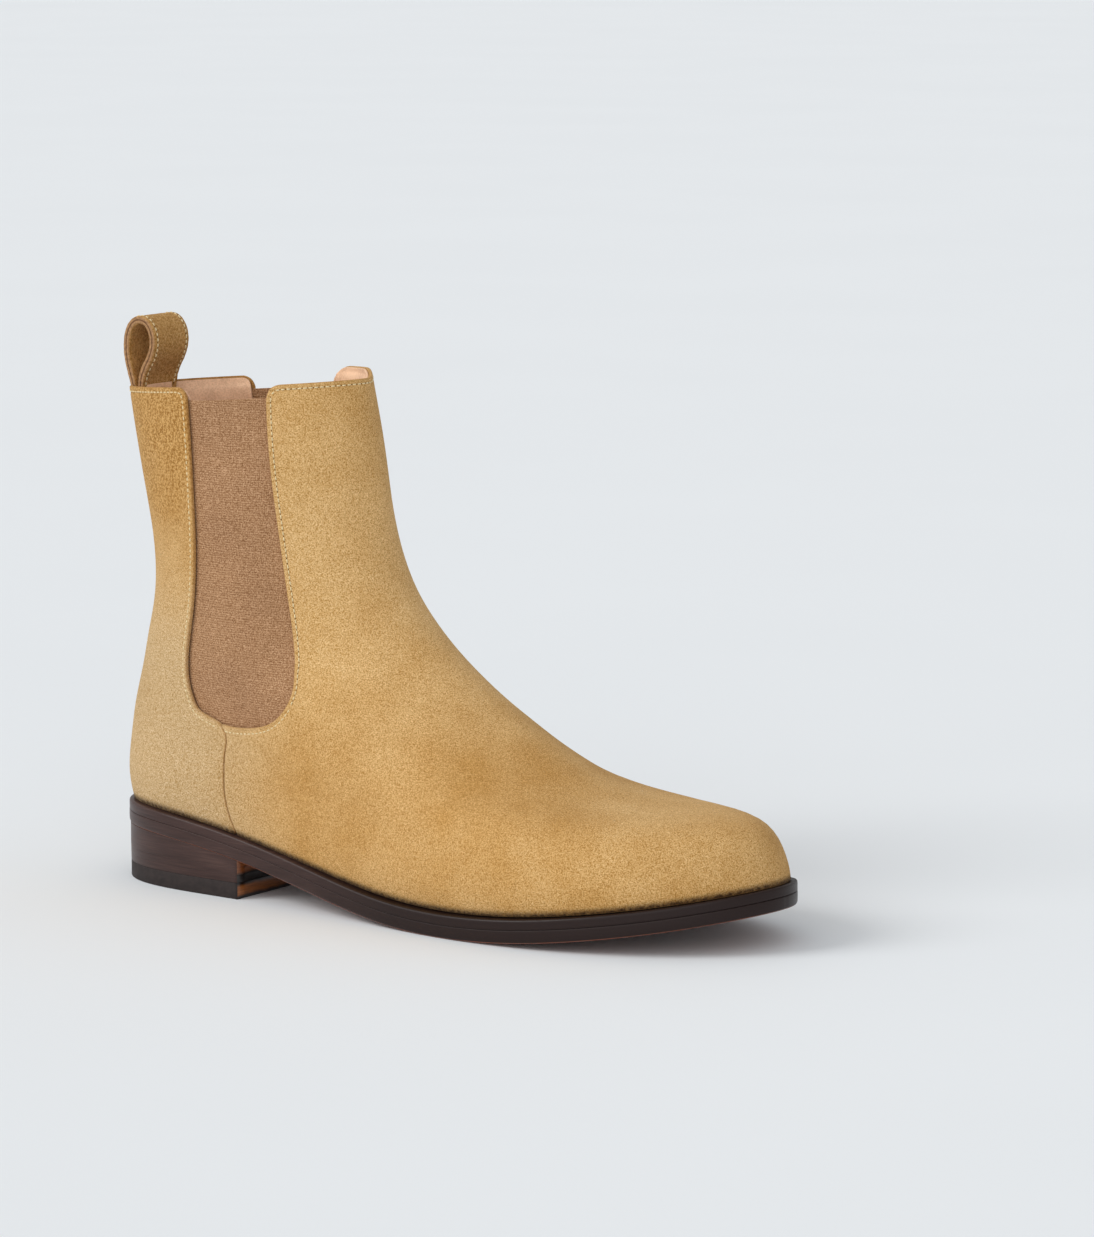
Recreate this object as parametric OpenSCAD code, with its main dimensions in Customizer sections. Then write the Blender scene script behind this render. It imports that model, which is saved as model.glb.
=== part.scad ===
// Chelsea boot for the right foot, men's size 43: suede upper on a leather sole with a stacked heel.
// Millimetres, +Z up, +X towards the toe, -Y towards the outer side of the foot.
// The origin is on the floor, under the middle of the heel.

/* [Parts] */
// Sub-part to draw, or all of them

/* [Upper layers] */
// Thickness of the suede
suede = 1.5; // [1:0.1:2.2]
// Thickness of the elastic, the toe puff and the heel counter
core = 0.8; // [0.6:0.1:1.4]
// Thickness of the lining leather
lining = 0.9; // [0.6:0.1:1.4]
// Clearance between flat layers that are glued together
glue = 0.1; // [0.05:0.05:0.3]
// Clearance between the curved layers of the upper, whose facets don't line up
ease = 0.35; // [0.2:0.05:0.6]

/* [Sole and heel] */
// Thickness of the outsole
outsole = 5; // [3.5:0.5:7]
// Thickness of the welt
welt = 4; // [3:0.5:6]
// Width of the welt from its outer edge inwards
welt_width = 11; // [8:1:16]
// Thickness of the insole board
insole = 2.3; // [1.5:0.1:3.5]
// Thickness of the sock lining
sock = 0.9; // [0.6:0.1:2]
// Thickness of the rubber top piece of the heel
top_piece = 6.5; // [5:0.5:8]
// Thickness of each flat heel lift
lift = 2.8; // [2:0.1:4]
// Where the heel breast is, forwards of the origin
breast_x = 38; // [30:1:45]
// How far the heel is set in from the edge of the outsole
heel_inset = 0.8; // [0:0.1:2]

/* [Shaft] */
// How far the top edge of the elastic lies below the panels, as a part of one station
gore_drop = 0.3; // [0:0.05:0.6]
// How far the elastic runs in under the panels, in degrees round the shaft
gore_margin = 5; // [2:1:8]

/* [Pull loop] */
// Width of the strap
strap_width = 22; // [16:1:30]
// Thickness of the doubled strap
strap = 2; // [1.6:0.1:3.2]
// Height of the loop above its pivot
loop_height = 26; // [18:1:34]
// Width of the eye at its widest
eye_width = 11; // [6:1:16]
// Pivot of the loop: forwards, then up
loop_pivot = [-26.8, 196.5];

/* [Motion] */
// Where the sole bends, forwards of the origin
ball_x = 165; // [150:1:175]
// Room left in the vamp for the bend, in degrees
bend_room = 28; // [20:1:35]
// Station of the crease where the front of the shaft leans forward
crease = 6.3; // [5.8:0.1:7]
// Clearance between parts that move
free = 0.3; // [0.2:0.1:0.6]

/* [Detail] */
// Size of the facets of the curved sheets
cell = 8; // [5:1:14]
// Pitch of the stitches
pitch = 4.2; // [2:0.1:6]

/* [Hidden] */
// Lines across the last, from the feather line (0) to the top line (11). Each has the back point
// (x, z), the front point (x, z), how far it follows the feather line, and the half breadths every
// 30 degrees: from the back tip round the outer side to the front tip and back by the inner side.
LAST = [
    [[-34, 31], [262, 23.5], 1, [69, 54, 40.5, 45.5, 59, 62, 57, 63, 51.5, 32, 32.5, 53.5]],
    [[-35, 37], [259.5, 33], 0.9, [70, 56, 42.5, 48, 62, 64, 60, 65, 54, 35, 35, 56]],
    [[-35.5, 46], [251, 46.5], 0.7, [70, 57, 43.5, 48, 60, 59, 54, 60, 53, 38, 37, 57]],
    [[-34.5, 58], [229, 52], 0.45, [66, 54, 43, 46, 53, 50, 44, 50, 48, 40, 38, 54]],
    [[-33, 71], [189.5, 55], 0.2, [58, 50, 42.5, 44, 47, 45, 40, 45, 45, 41, 39, 50]],
    [[-29.5, 85], [152, 71], 0.05, [50, 45, 41, 42, 42, 39, 35, 39, 41, 40, 37, 45]],
    [[-27, 99], [119, 91.5], 0, [43, 41, 39, 40, 39, 36, 33, 36, 38, 39, 36, 41]],
    [[-23, 116], [95.5, 115.5], 0, [39, 38, 37.5, 37.5, 36, 33, 30, 33, 36, 37, 35.5, 38]],
    [[-24, 135], [85, 141.5], 0, [37, 35.5, 35, 34.5, 33, 30.5, 28, 30.5, 33, 34.5, 34, 35.5]],
    [[-29, 157], [80.5, 165], 0, [37, 34.5, 33.5, 33, 31.5, 29, 27, 29, 31.5, 33, 32.5, 34.5]],
    [[-32.5, 177], [77, 186], 0, [38, 34, 32.5, 32, 30.5, 28, 26, 28, 30.5, 32, 31.5, 34]],
    [[-35, 194], [74, 202.5], 0, [39, 34, 31.5, 31.5, 30, 27, 24.5, 27, 30, 31.5, 31, 34]]
];
TOP = len(LAST) - 1;
// Height of the underside of the outsole, every 31 mm from x = -42
ARCH = [22, 21.3, 18.2, 12.9, 6.8, 1.6, 0.08, 1.5, 5.2, 10.1, 16.3, 23.5];
ARCH_START = -42;
ARCH_STEP = 31;
// Outline of the outsole: back, front, and the half breadths every 30 degrees
SOLE_BACK = -35.5;
SOLE_FRONT = 264.5;
SOLE_OUT = [71.4, 60, 42.7, 50.5, 63, 66, 60, 66, 56.6, 37, 34.6, 60];

// Angle round the form of the line from the welt up the side seam and the back edge of the gore
BACK_EDGE = [58.2, 57.8, 57.9, 59.8, 60, 57.2, 62.2, 69.2, 73.6, 76.7, 78.3, 79.5];
// Station of the underside of the gore, every 5 degrees from 60 degrees on
GORE_UNDER = [4.17, 4.17, 4.2, 4.3, 4.44, 4.64, 4.9, 5.19, 5.51, 5.9, 6.36, 6.85];
GORE_UNDER_START = 60;
// Angle of the front edge of the gore at stations 4 to 11
GORE_FRONT = [69, 91, 106, 114, 115.6, 115.2, 116, 118];
GORE_FRONT_START = 4;
// The seam steps forward where it meets the underside of the gore: station, reach below it and
// above it, degrees
SEAM_STEP = [4.17, 0.8, 0.14, 6.5];
// How far the inner gore opening is turned back at the top line: its back edge, its front edge
INNER_TURN = [12, 5];
// How far the inner half of the front stands above the top line, in stations
INNER_LIFT = 0.2;

/* Smooth curves */
function cubic(a, b, c, d, u) =
    ((1 - u)^3 * a + (3 * u^3 - 6 * u^2 + 4) * b
    + (-3 * u^3 + 3 * u^2 + 3 * u + 1) * c + u^3 * d) / 6;
// Control points of a curve that runs close by the points P
function fair(P) = let (
    n = len(P) - 1,
    m = [for (i = [0:n]) i == 0 || i == n ? P[i] : P[i] - (P[i - 1] - 2 * P[i] + P[i + 1]) / 6]
) concat([2 * m[0] - m[1]], m, [2 * m[n] - m[n - 1]]);
function along(C, t) = let (k = min(max(floor(t), 0), len(C) - 4))
    cubic(C[k], C[k + 1], C[k + 2], C[k + 3], t - k);
function ring(W) = let (n = len(W))
    [for (i = [0:n - 1]) W[i] - (W[(i + n - 1) % n] - 2 * W[i] + W[(i + 1) % n]) / 6];
function around(C, phi) = let (n = len(C), s = phi * n / 360, k = floor(s), j = k + 2 * n)
    cubic(C[(j - 1) % n], C[j % n], C[(j + 1) % n], C[(j + 2) % n], s - k);
function mix(a, b, s) = a + (b - a) * s;
function unit(v) = v / norm(v);

/* Sole curve and feather line */
ARCH_CURVE = fair(ARCH);
function arch(x) = along(ARCH_CURVE, (x - ARCH_START) / ARCH_STEP);
function feather(x) = arch(x) + outsole + welt + 0.1;
function insole_top(x) = feather(x) + glue + insole;
BALL_Z = insole_top(ball_x) + glue + sock;

/* The outside of the upper: station t up the boot, angle phi round it */
FORM = fair([for (r = LAST) concat(r[0], r[1], [r[2]], ring(r[3]))]);
BASE = LAST[0];
function base_line(x) = mix(BASE[0][1], BASE[1][1], (x - BASE[0][0]) / (BASE[1][0] - BASE[0][0]));
function slice(v, a) = [for (i = [a:len(v) - 1]) v[i]];
function outside(t, phi) = let (
    v = along(FORM, t),
    f = (1 - cos(phi)) / 2,
    x = mix(v[0], v[2], f),
    z = mix(v[1], v[3], f) + v[4] * (feather(x) - base_line(x))
) [x, -around(slice(v, 5), phi) * sin(phi), z];
// Point at a depth below the outside, never below the top of the welt
function skin(t, phi, depth) = let (
    p = outside(t, phi),
    a = outside(t, phi + 0.5) - outside(t, phi - 0.5),
    b = outside(t + 0.05, phi) - outside(t - 0.05, phi),
    q = p - depth * unit(cross(a, b))
) [q[0], q[1], max(q[2], feather(q[0]) + glue)];

// Depths of the layers
CORE_OUT = suede + ease;
CORE_IN = CORE_OUT + core;
LINING_OUT = CORE_IN + ease;
LINING_IN = LINING_OUT + lining;

/* Edges of the panels, in stations and angles */
BACK_CURVE = fair(BACK_EDGE);
UNDER_CURVE = fair(GORE_UNDER);
FRONT_CURVE = fair(GORE_FRONT);
function ease_in(s) = let (c = max(0, min(1, s))) c * c * (3 - 2 * c);
function turn(t, side) = side > 0 ? 0 : ease_in((t - 5.5) / 5.5);
function back_line(t, side = 1) = along(BACK_CURVE, t) - INNER_TURN[0] * turn(t, side);
function back_edge(t, side = 1) = let (away = t - SEAM_STEP[0]) back_line(t, side)
    + SEAM_STEP[3] * exp(-pow(away / (away < 0 ? SEAM_STEP[1] : SEAM_STEP[2]), 2));
function gore_under(phi) = along(UNDER_CURVE, (phi - GORE_UNDER_START) / 5);
function gore_front(t, side = 1) =
    along(FRONT_CURVE, t - GORE_FRONT_START) - INNER_TURN[1] * turn(t, side);
function lifted(t, phi) = [t + INNER_LIFT * ease_in((t - 8) / 3) * ease_in((phi - 185) / 30), phi];
// Gap between two panels at a seam, in degrees round the form
SEAM = 0.12;
// How far a point of the form is ahead of the bend; lean tips the plane of the bend back
function ahead(t, phi, x0, lean) = let (p = outside(t, phi))
    p[0] - x0 + tan(lean) * max(0, p[2] - BALL_Z);
// Angle, between 60 degrees and the ridge, where the plane of the bend crosses a station
function bend_angle(t, x0, lean, lo = 60, hi = 180, n = 16) = let (m = (lo + hi) / 2)
    n == 0 ? m : ahead(t, m, x0, lean) > 0 ? bend_angle(t, x0, lean, lo, m, n - 1)
                                           : bend_angle(t, x0, lean, m, hi, n - 1);
// Station where the plane of the bend crosses the ridge
function bend_ridge(x0, lean, lo = 2, hi = 8, n = 18) = let (m = (lo + hi) / 2)
    n == 0 ? m : ahead(m, 180, x0, lean) > 0 ? bend_ridge(x0, lean, m, hi, n - 1)
                                             : bend_ridge(x0, lean, lo, m, n - 1);
// Place on the line of the bend: s is 0 at the outer feather line, 1 on the ridge, 2 at the inner one
function bend_place(s, x0, lean, ridge) = let (
    t = ridge * sin(90 * min(s, 2 - s)),
    phi = s == 1 ? 180 : bend_angle(t, x0, lean)
) [t, s > 1 ? 360 - phi : phi];
// The toe ends at an upright plane, and the vamp at a plane that leans back to leave room
TOE_X = ball_x + free / 2;
VAMP_X = ball_x - free / 2;
TOE_RIDGE = bend_ridge(TOE_X, 0);
VAMP_RIDGE = bend_ridge(VAMP_X, bend_room);
function toe_line(s) = bend_place(s, TOE_X, 0, TOE_RIDGE);
function vamp_line(s) = bend_place(s, VAMP_X, bend_room, VAMP_RIDGE);

/* Solids */
// Sheet between two depths; at(s, v) gives [station, angle] over a grid of nu by nv cells
module sheet(at, nu, nv, near, far) {
    grid = [for (i = [0:nu]) for (j = [0:nv]) at(i / nu, j / nv)];
    shell([for (g = grid) skin(g[0], g[1], near)], [for (g = grid) skin(g[0], g[1], far)], nu, nv);
}
// Closed solid between two grids of points
module shell(front, back, nu, nv) {
    k = len(front);
    id = function (i, j) i * (nv + 1) + j;
    edge = concat([for (i = [0:nu]) id(i, 0)], [for (j = [1:nv]) id(nu, j)],
                  [for (i = [1:nu]) id(nu - i, nv)], [for (j = [1:nv - 1]) id(0, nv - j)]);
    n = len(edge);
    faces = [
        for (i = [0:nu - 1]) for (j = [0:nv - 1])
            let (a = id(i, j), b = id(i, j + 1), c = id(i + 1, j + 1), d = id(i + 1, j))
            each [[a, b, c], [a, c, d], [k + a, k + c, k + b], [k + a, k + d, k + c]],
        for (m = [0:n - 1]) let (a = edge[m], b = edge[(m + 1) % n])
            each [[a, b, k + b], [a, k + b, k + a]]
    ];
    polyhedron(concat(front, back), faces, convexity = 8);
}
function steps(length) = max(1, round(length / cell));

// Outline point of a plate at an angle, set in from the outline
function rim(back, front, C, phi, inset) =
    [mix(back + inset, front - inset, (1 - cos(phi)) / 2), -(around(C, phi) - inset) * sin(phi)];
SOLE_CURVE = ring(SOLE_OUT);
UPPER_CURVE = ring(BASE[3]);
function sole_rim(phi, inset = 0) = rim(SOLE_BACK, SOLE_FRONT, SOLE_CURVE, phi, inset);
function upper_rim(phi, inset) = rim(BASE[0][0], BASE[1][0], UPPER_CURVE, phi, inset);
// Angle at which a plate's outline reaches x
function rim_angle(x, back, front, inset) =
    acos(max(-1, min(1, 1 - 2 * (x - back - inset) / (front - back - 2 * inset))));
function sole_angle(x, inset = 0) = rim_angle(x, SOLE_BACK, SOLE_FRONT, inset);
function upper_angle(x, inset) = rim_angle(x, BASE[0][0], BASE[1][0], inset);

// Plate that fills an outline between two angles, from one height to another
module plate(edge, from, to, under, over) {
    n = steps(abs(to - from) * 1.6);
    rows = [for (i = [0:n]) mix(from, to, i / n)];
    pair = function (height) [for (a = rows) for (p = [edge(a), edge(-a)]) [p[0], p[1], height(p[0])]];
    shell(pair(over), pair(under), n, 1);
}
// Strip along an outline between two angles, from inset near to inset far
module strip(edge, from, to, near, far, under, over) {
    n = steps(abs(to - from) * 2.6);
    rows = [for (i = [0:n]) mix(from, to, i / n)];
    face = function (height)
        [for (a = rows) for (p = [edge(a, near), edge(a, far)]) [p[0], p[1], height(p[0])]];
    shell(face(under), face(over), n, 1);
}
// Flat heel layer
module heel_outline(inset) {
    last = sole_angle(breast_x, inset);
    n = 18;
    polygon([for (i = [-n:n]) sole_rim(last * i / n, inset)]);
}
module heel_layer(low, thick, inset) {
    translate([0, 0, low]) linear_extrude(thick) heel_outline(inset);
}

/* Panels of the upper, each as a sheet at the depths of its layer */
// Behind the gore: from the angle lo to the side seam, on the side that is 1 outside and -1 inside
module back_panel(side, lo, near, far) {
    at = function (s, v) let (t = TOP * v, hi = back_edge(t, side) - SEAM)
        [t, side > 0 ? mix(lo, hi, s) : mix(-hi, -lo, s)];
    sheet(at, steps(62), steps(165), near, far);
}
// From the feather line and the bend up to the gore and the crease, across the instep
module instep_panel(near, far) {
    side_steps = steps(108);
    bend_steps = steps(75);
    half = side_steps + bend_steps;
    first = bend_angle(0, VAMP_X, bend_room);
    // lower edge: along the feather line, then up the line of the bend
    low = function (c) c <= side_steps ? [0, mix(GORE_UNDER_START, first, c / side_steps)]
                                       : vamp_line((c - side_steps) / bend_steps);
    // upper edge: under the gore, then along the crease, which the bend nears only at the ridge
    high = function (c) let (
        phi = c <= side_steps ? mix(GORE_UNDER_START, 106, c / side_steps)
                              : mix(106, 180, pow((c - side_steps) / bend_steps, 2))
    ) [phi > 112 ? crease - 0.01 : min(crease - 0.01, gore_under(phi) - 0.02), phi];
    at = function (s, v) let (
        c = half * (s > 0.5 ? 2 - 2 * s : 2 * s),
        p = mix(low(c), high(c), v),
        // the seam isn't at one angle, so the cells next to it are moved over to it
        near_seam = max(0, 1 - (p[1] - GORE_UNDER_START) / 25),
        phi = p[1] + near_seam * (back_edge(p[0]) + SEAM - GORE_UNDER_START)
    ) [p[0], s > 0.5 ? 360 - phi : phi];
    sheet(at, 2 * half, steps(75), near, far);
}
// The soft zone of the vamp between the toe and the instep
module bend_panel(near, far) {
    at = function (s, v) let (
        // the zone is narrow at the welt, so its clearance is a larger part of its width there
        e = mix(0.25, 0.02, sin(90 * min(2 * s, 2 - 2 * s)))
    ) mix(toe_line(2 * s), vamp_line(2 * s), mix(e, 1 - e, v));
    sheet(at, 2 * steps(75), 3, near, far);
}
// In front of the bend: its cells, from side to side and from the feather line up
TOE_ROUND = steps(230);
TOE_UP = steps(75);
module toe_panel(near, far, aside = 0, up = TOE_UP) {
    across = TOE_ROUND - 2 * aside;
    at = function (s, v) let (
        t = TOE_RIDGE * min(0.995, sin(90 * v * up / TOE_UP)),
        phi = bend_angle(t, TOE_X, 0)
    ) [t, mix(phi, 360 - phi, (aside + s * across) / TOE_ROUND)];
    sheet(at, across, up, near, far);
}
// The front of the shaft above the crease
module shaft_panel(near, far) {
    at = function (s, v) let (
        t = mix(crease + 0.01, TOP, v),
        a = gore_front(t) + SEAM,
        b = 360 - gore_front(t, -1) - SEAM
    ) lifted(t, mix(a, b, s));
    sheet(at, steps(115), steps(95), near, far);
}
// Stretch panel at one side, run in under the panels around it
module gore(side) {
    at = function (s, v) let (
        t = mix(3.75, TOP - gore_drop, v),
        a = back_line(t, side) - gore_margin,
        b = gore_front(t, side) + gore_margin
    ) [t, side > 0 ? mix(a, b, s) : mix(-b, -a, s)];
    sheet(at, steps(55), steps(130), CORE_OUT, CORE_IN);
}

/* Suede pieces */
SUEDE = [0.78, 0.63, 0.41];
module quarter_outer() { color(SUEDE) back_panel(1, 0.6, 0, suede); }
module quarter_inner() { color(SUEDE) back_panel(-1, 0.6, 0, suede); }
module instep_suede() { color(SUEDE) instep_panel(0, suede); }
module vamp_flex() { color(SUEDE) bend_panel(0, suede); }
module toe_suede() { color(SUEDE) toe_panel(0, suede); }
module shaft_front() { color(SUEDE) shaft_panel(0, suede); }
// Narrow dark piping that stands up out of the back seam
module back_piping() {
    at = function (s, v) let (
        t = mix(0.6, TOP - 0.4, v),
        half = asin(1.3 / around(slice(along(FORM, t), 5), 0))
    ) [t, mix(-half, half, s)];
    color([0.3, 0.19, 0.17]) sheet(at, 2, steps(165), -0.8, -0.05);
}

/* Elastic, stiffeners and linings */
ELASTIC = [0.66, 0.52, 0.4];
LINING = [0.7, 0.56, 0.46];
module gore_outer() { color(ELASTIC) gore(1); }
module gore_inner() { color(ELASTIC) gore(-1); }
module heel_counter() {
    at = function (s, v) [mix(0.05, 3.3, v), mix(-64, 64, s)];
    color([0.85, 0.8, 0.7]) sheet(at, steps(140), steps(45), CORE_OUT, CORE_IN);
}
module toe_puff() {
    color([0.85, 0.8, 0.7])
        toe_panel(CORE_OUT, CORE_IN, round(0.2 * TOE_ROUND), round(0.45 * TOE_UP));
}
// The back lining is one piece round the heel
module lining_back() {
    at = function (s, v) let (t = TOP * v)
        [t, mix(SEAM - back_edge(t, -1), back_edge(t) - SEAM, s)];
    color(LINING) sheet(at, steps(124), steps(165), LINING_OUT, LINING_IN);
}
module lining_instep() { color(LINING) instep_panel(LINING_OUT, LINING_IN); }
module lining_flex() { color(LINING) bend_panel(LINING_OUT, LINING_IN); }
module lining_toe() { color(LINING) toe_panel(LINING_OUT, LINING_IN); }
module lining_shaft() { color(LINING) shaft_panel(LINING_OUT, LINING_IN); }

/* Stitching: one short block of thread per stitch, just proud of the suede */
module stitch(a, b) {
    p = outside(a[0], a[1]);
    q = outside(b[0], b[1]);
    up = unit(skin(a[0], a[1], -1) - p);
    d = unit(q - p);
    w = cross(up, d);
    m = [for (i = [0:2]) [d[i], w[i], up[i], mix(p[i], q[i], 0.2) - 0.35 * w[i] + 0.06 * up[i]]];
    multmatrix(concat(m, [[0, 0, 0, 1]])) cube([0.6 * norm(q - p), 0.7, 0.35]);
}
// A row of n stitches along at(s), which gives [station, angle]
module row(at, length) {
    n = round(length / pitch);
    for (i = [0:n - 1]) stitch(at(i / n), at((i + 1) / n));
}
THREAD = [0.9, 0.82, 0.6];
TOP_ROW = TOP - 0.12;
module stitching_back() {
    color(THREAD) for (side = [-1, 1]) {
        row(function (s) let (t = mix(4.2, TOP_ROW, s)) [t, side * (back_edge(t, side) - 2)], 126);
        row(function (s) [TOP_ROW, side * mix(6, back_edge(TOP, side) - 4, s)], 55);
    }
}
module stitching_instep() {
    color(THREAD) for (side = [-1, 1])
        row(function (s) let (phi = mix(68, 106, s), t = gore_under(phi) - 0.11)
            [t, side > 0 ? phi : 360 - phi], 62);
}
module stitching_shaft() {
    color(THREAD) {
        for (side = [-1, 1])
            row(function (s) let (t = mix(crease + 0.1, TOP_ROW, s), phi = gore_front(t, side) + 2)
                side > 0 ? [t, phi] : lifted(t, 360 - phi), 94);
        row(function (s) lifted(TOP_ROW, mix(122, 243, s)), 114);
    }
}

/* Pull loop */
LOOP_LEAN = -1.7;
TAB_ANGLE = 16;
module pull_loop() {
    eye_z = loop_height - strap - eye_width / 2;
    color(SUEDE) translate([loop_pivot[0], strap_width / 2, loop_pivot[1]]) rotate([90, 0, 0])
        linear_extrude(strap_width) difference() {
            hull() {
                circle(strap, $fn = 24);
                translate([LOOP_LEAN, eye_z]) circle(eye_width / 2 + strap, $fn = 40);
            }
            hull() {
                translate([LOOP_LEAN * 0.2, 5]) circle(0.4, $fn = 12);
                translate([LOOP_LEAN, eye_z]) circle(eye_width / 2, $fn = 36);
            }
        }
}
// Sewn end of the loop, skived and laid against the lining
module loop_tab() {
    at = function (s, v) [mix(TOP - 1.1, TOP - 0.12, v), mix(-TAB_ANGLE, TAB_ANGLE, s)];
    color(SUEDE) sheet(at, 4, 3, LINING_IN + free, LINING_IN + free + 0.8 * strap);
}

/* Insole and filling */
INSOLE_INSET = LINING_IN + 1.8;
function inner_rim(phi) = upper_rim(phi, INSOLE_INSET);
function sock_rim(phi) = upper_rim(phi, INSOLE_INSET + 0.6);
REAR_X = ball_x - free / 2;
FORE_X = ball_x + free / 2;
insole_low = function (x) feather(x) + glue;
insole_high = function (x) insole_top(x);
sock_low = function (x) insole_top(x) + glue;
sock_high = function (x) insole_top(x) + glue + sock;
// The smallest angle keeps the two ends of a plate from closing to a point
TIP = 4;
module insole_rear() {
    color([0.72, 0.58, 0.42])
        plate(function (a) inner_rim(a), TIP, upper_angle(REAR_X, INSOLE_INSET), insole_low, insole_high);
}
module insole_fore() {
    color([0.72, 0.58, 0.42])
        plate(function (a) inner_rim(a), upper_angle(FORE_X, INSOLE_INSET), 180 - TIP,
              insole_low, insole_high);
}
module sock_rear() {
    color(LINING)
        plate(function (a) sock_rim(a), TIP, upper_angle(REAR_X, INSOLE_INSET + 0.6), sock_low, sock_high);
}
module sock_fore() {
    color(LINING)
        plate(function (a) sock_rim(a), upper_angle(FORE_X, INSOLE_INSET + 0.6), 180 - TIP,
              sock_low, sock_high);
}
// Cork fills the space inside the welt; the shank lies on the thinner part of it
FILL_INSET = welt_width + 0.3;
SHANK = [4, 112, 15];
shank_step = 1.7;
fill_low = function (x) arch(x) + outsole + 0.1;
module cork_rear() {
    color([0.62, 0.45, 0.28])
        plate(function (a) sole_rim(a, FILL_INSET), TIP, sole_angle(SHANK[1] + 4, FILL_INSET), fill_low,
              function (x) feather(x) - shank_step - 0.1);
}
module cork_middle() {
    color([0.62, 0.45, 0.28])
        plate(function (a) sole_rim(a, FILL_INSET), sole_angle(SHANK[1] + 4.5, FILL_INSET),
              sole_angle(REAR_X, FILL_INSET), fill_low, function (x) feather(x) - 0.05);
}
module cork_fore() {
    color([0.62, 0.45, 0.28])
        plate(function (a) sole_rim(a, FILL_INSET), sole_angle(FORE_X, FILL_INSET), 180 - TIP, fill_low,
              function (x) feather(x) - 0.05);
}
module shank() {
    n = 14;
    xs = [for (i = [0:n]) mix(SHANK[0], SHANK[1], i / n)];
    side = function (drop) [for (x = xs) for (y = [-1, 1]) [x, y * SHANK[2] / 2, feather(x) - drop]];
    color([0.75, 0.76, 0.78]) shell(side(0.1), side(shank_step), n, 1);
}

/* Sole */
SOLE = [0.23, 0.17, 0.15];
sole_low = function (x) arch(x);
sole_high = function (x) arch(x) + outsole;
welt_low = function (x) arch(x) + outsole + 0.1;
welt_high = function (x) feather(x);
module outsole_rear() {
    color(SOLE) plate(function (a) sole_rim(a), TIP, sole_angle(REAR_X), sole_low, sole_high);
}
module outsole_fore() {
    color(SOLE) plate(function (a) sole_rim(a), sole_angle(FORE_X), 180 - TIP, sole_low, sole_high);
}
// The ends of the two welts are square to the foot, so their inner edges turn a little less or more
module welt_rear() {
    last = sole_angle(REAR_X);
    edge = function (a, inset) sole_rim(a * sole_angle(REAR_X, inset) / last, inset);
    color(SOLE) strip(edge, -last, last, 0, welt_width, welt_low, welt_high);
}
module welt_fore() {
    first = sole_angle(FORE_X);
    edge = function (a, inset)
        sole_rim(180 + (a - 180) * (180 - sole_angle(FORE_X, inset)) / (180 - first), inset);
    color(SOLE) strip(edge, first, 360 - first, 0, welt_width, welt_low, welt_high);
}

/* Heel: rubber top piece, two flat lifts and a wedge up to the outsole */
LAYER = 0.1;
LIFT_1 = top_piece + LAYER;
LIFT_2 = LIFT_1 + lift + LAYER;
WEDGE = LIFT_2 + lift + LAYER;
NAIL_R = 1;
NAILS = [for (a = [0:60:300]) [4 + 19 * cos(a), 17 * sin(a)]];
NAIL_TOP = WEDGE + 3;
PIN_R = 0.8;
PINS = [for (a = [-60:30:60]) [-4 - 25 * cos(a), -25 * sin(a)]];
PIN_DEPTH = 3;
module nail_holes() {
    for (p = NAILS) translate([p[0], p[1], LIFT_1 - 1])
        cylinder(h = NAIL_TOP - LIFT_1 + 1.2, r = NAIL_R + 0.05, $fn = 16);
}
module rubber_top_piece() {
    color([0.13, 0.12, 0.12]) difference() {
        heel_layer(0, top_piece, heel_inset);
        for (p = PINS) translate([p[0], p[1], -1])
            cylinder(h = PIN_DEPTH + 1.1, r = PIN_R + 0.05, $fn = 14);
    }
}
module top_piece_pins() {
    color([0.8, 0.65, 0.35]) for (p = PINS) translate([p[0], p[1], 0.1])
        cylinder(h = PIN_DEPTH - 0.1, r = PIN_R, $fn = 14);
}
module heel_lift_lower() {
    color(SOLE) difference() { heel_layer(LIFT_1, lift, heel_inset); nail_holes(); }
}
module heel_lift_upper() {
    color(SOLE) difference() { heel_layer(LIFT_2, lift, heel_inset * 0.8); nail_holes(); }
}
module heel_wedge() {
    last = sole_angle(breast_x, heel_inset * 0.6);
    color(SOLE) difference() {
        plate(function (a) sole_rim(a, heel_inset * 0.6), TIP, last, function (x) WEDGE,
              function (x) arch(x) - 0.1);
        nail_holes();
    }
}
module heel_nails() {
    color([0.7, 0.7, 0.72]) for (p = NAILS) translate([p[0], p[1], LIFT_1 + 0.2])
        cylinder(h = NAIL_TOP - LIFT_1 - 0.2, r = NAIL_R, $fn = 16);
}
module heel_pad() {
    color([0.75, 0.66, 0.5])
        plate(function (a) sock_rim(a), TIP, upper_angle(52, INSOLE_INSET + 0.6),
              function (x) sock_high(x) + glue, function (x) sock_high(x) + glue + 1.6);
}

quarter_outer();
quarter_inner();
instep_suede();
vamp_flex();
toe_suede();
shaft_front();
back_piping();
gore_outer();
gore_inner();
heel_counter();
toe_puff();
lining_back();
lining_instep();
lining_flex();
lining_toe();
lining_shaft();
stitching_back();
stitching_instep();
stitching_shaft();
pull_loop();
loop_tab();
insole_rear();
insole_fore();
sock_rear();
sock_fore();
heel_pad();
cork_rear();
cork_middle();
cork_fore();
shank();
outsole_rear();
outsole_fore();
welt_rear();
welt_fore();
rubber_top_piece();
top_piece_pins();
heel_lift_lower();
heel_lift_upper();
heel_wedge();
heel_nails();
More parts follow.
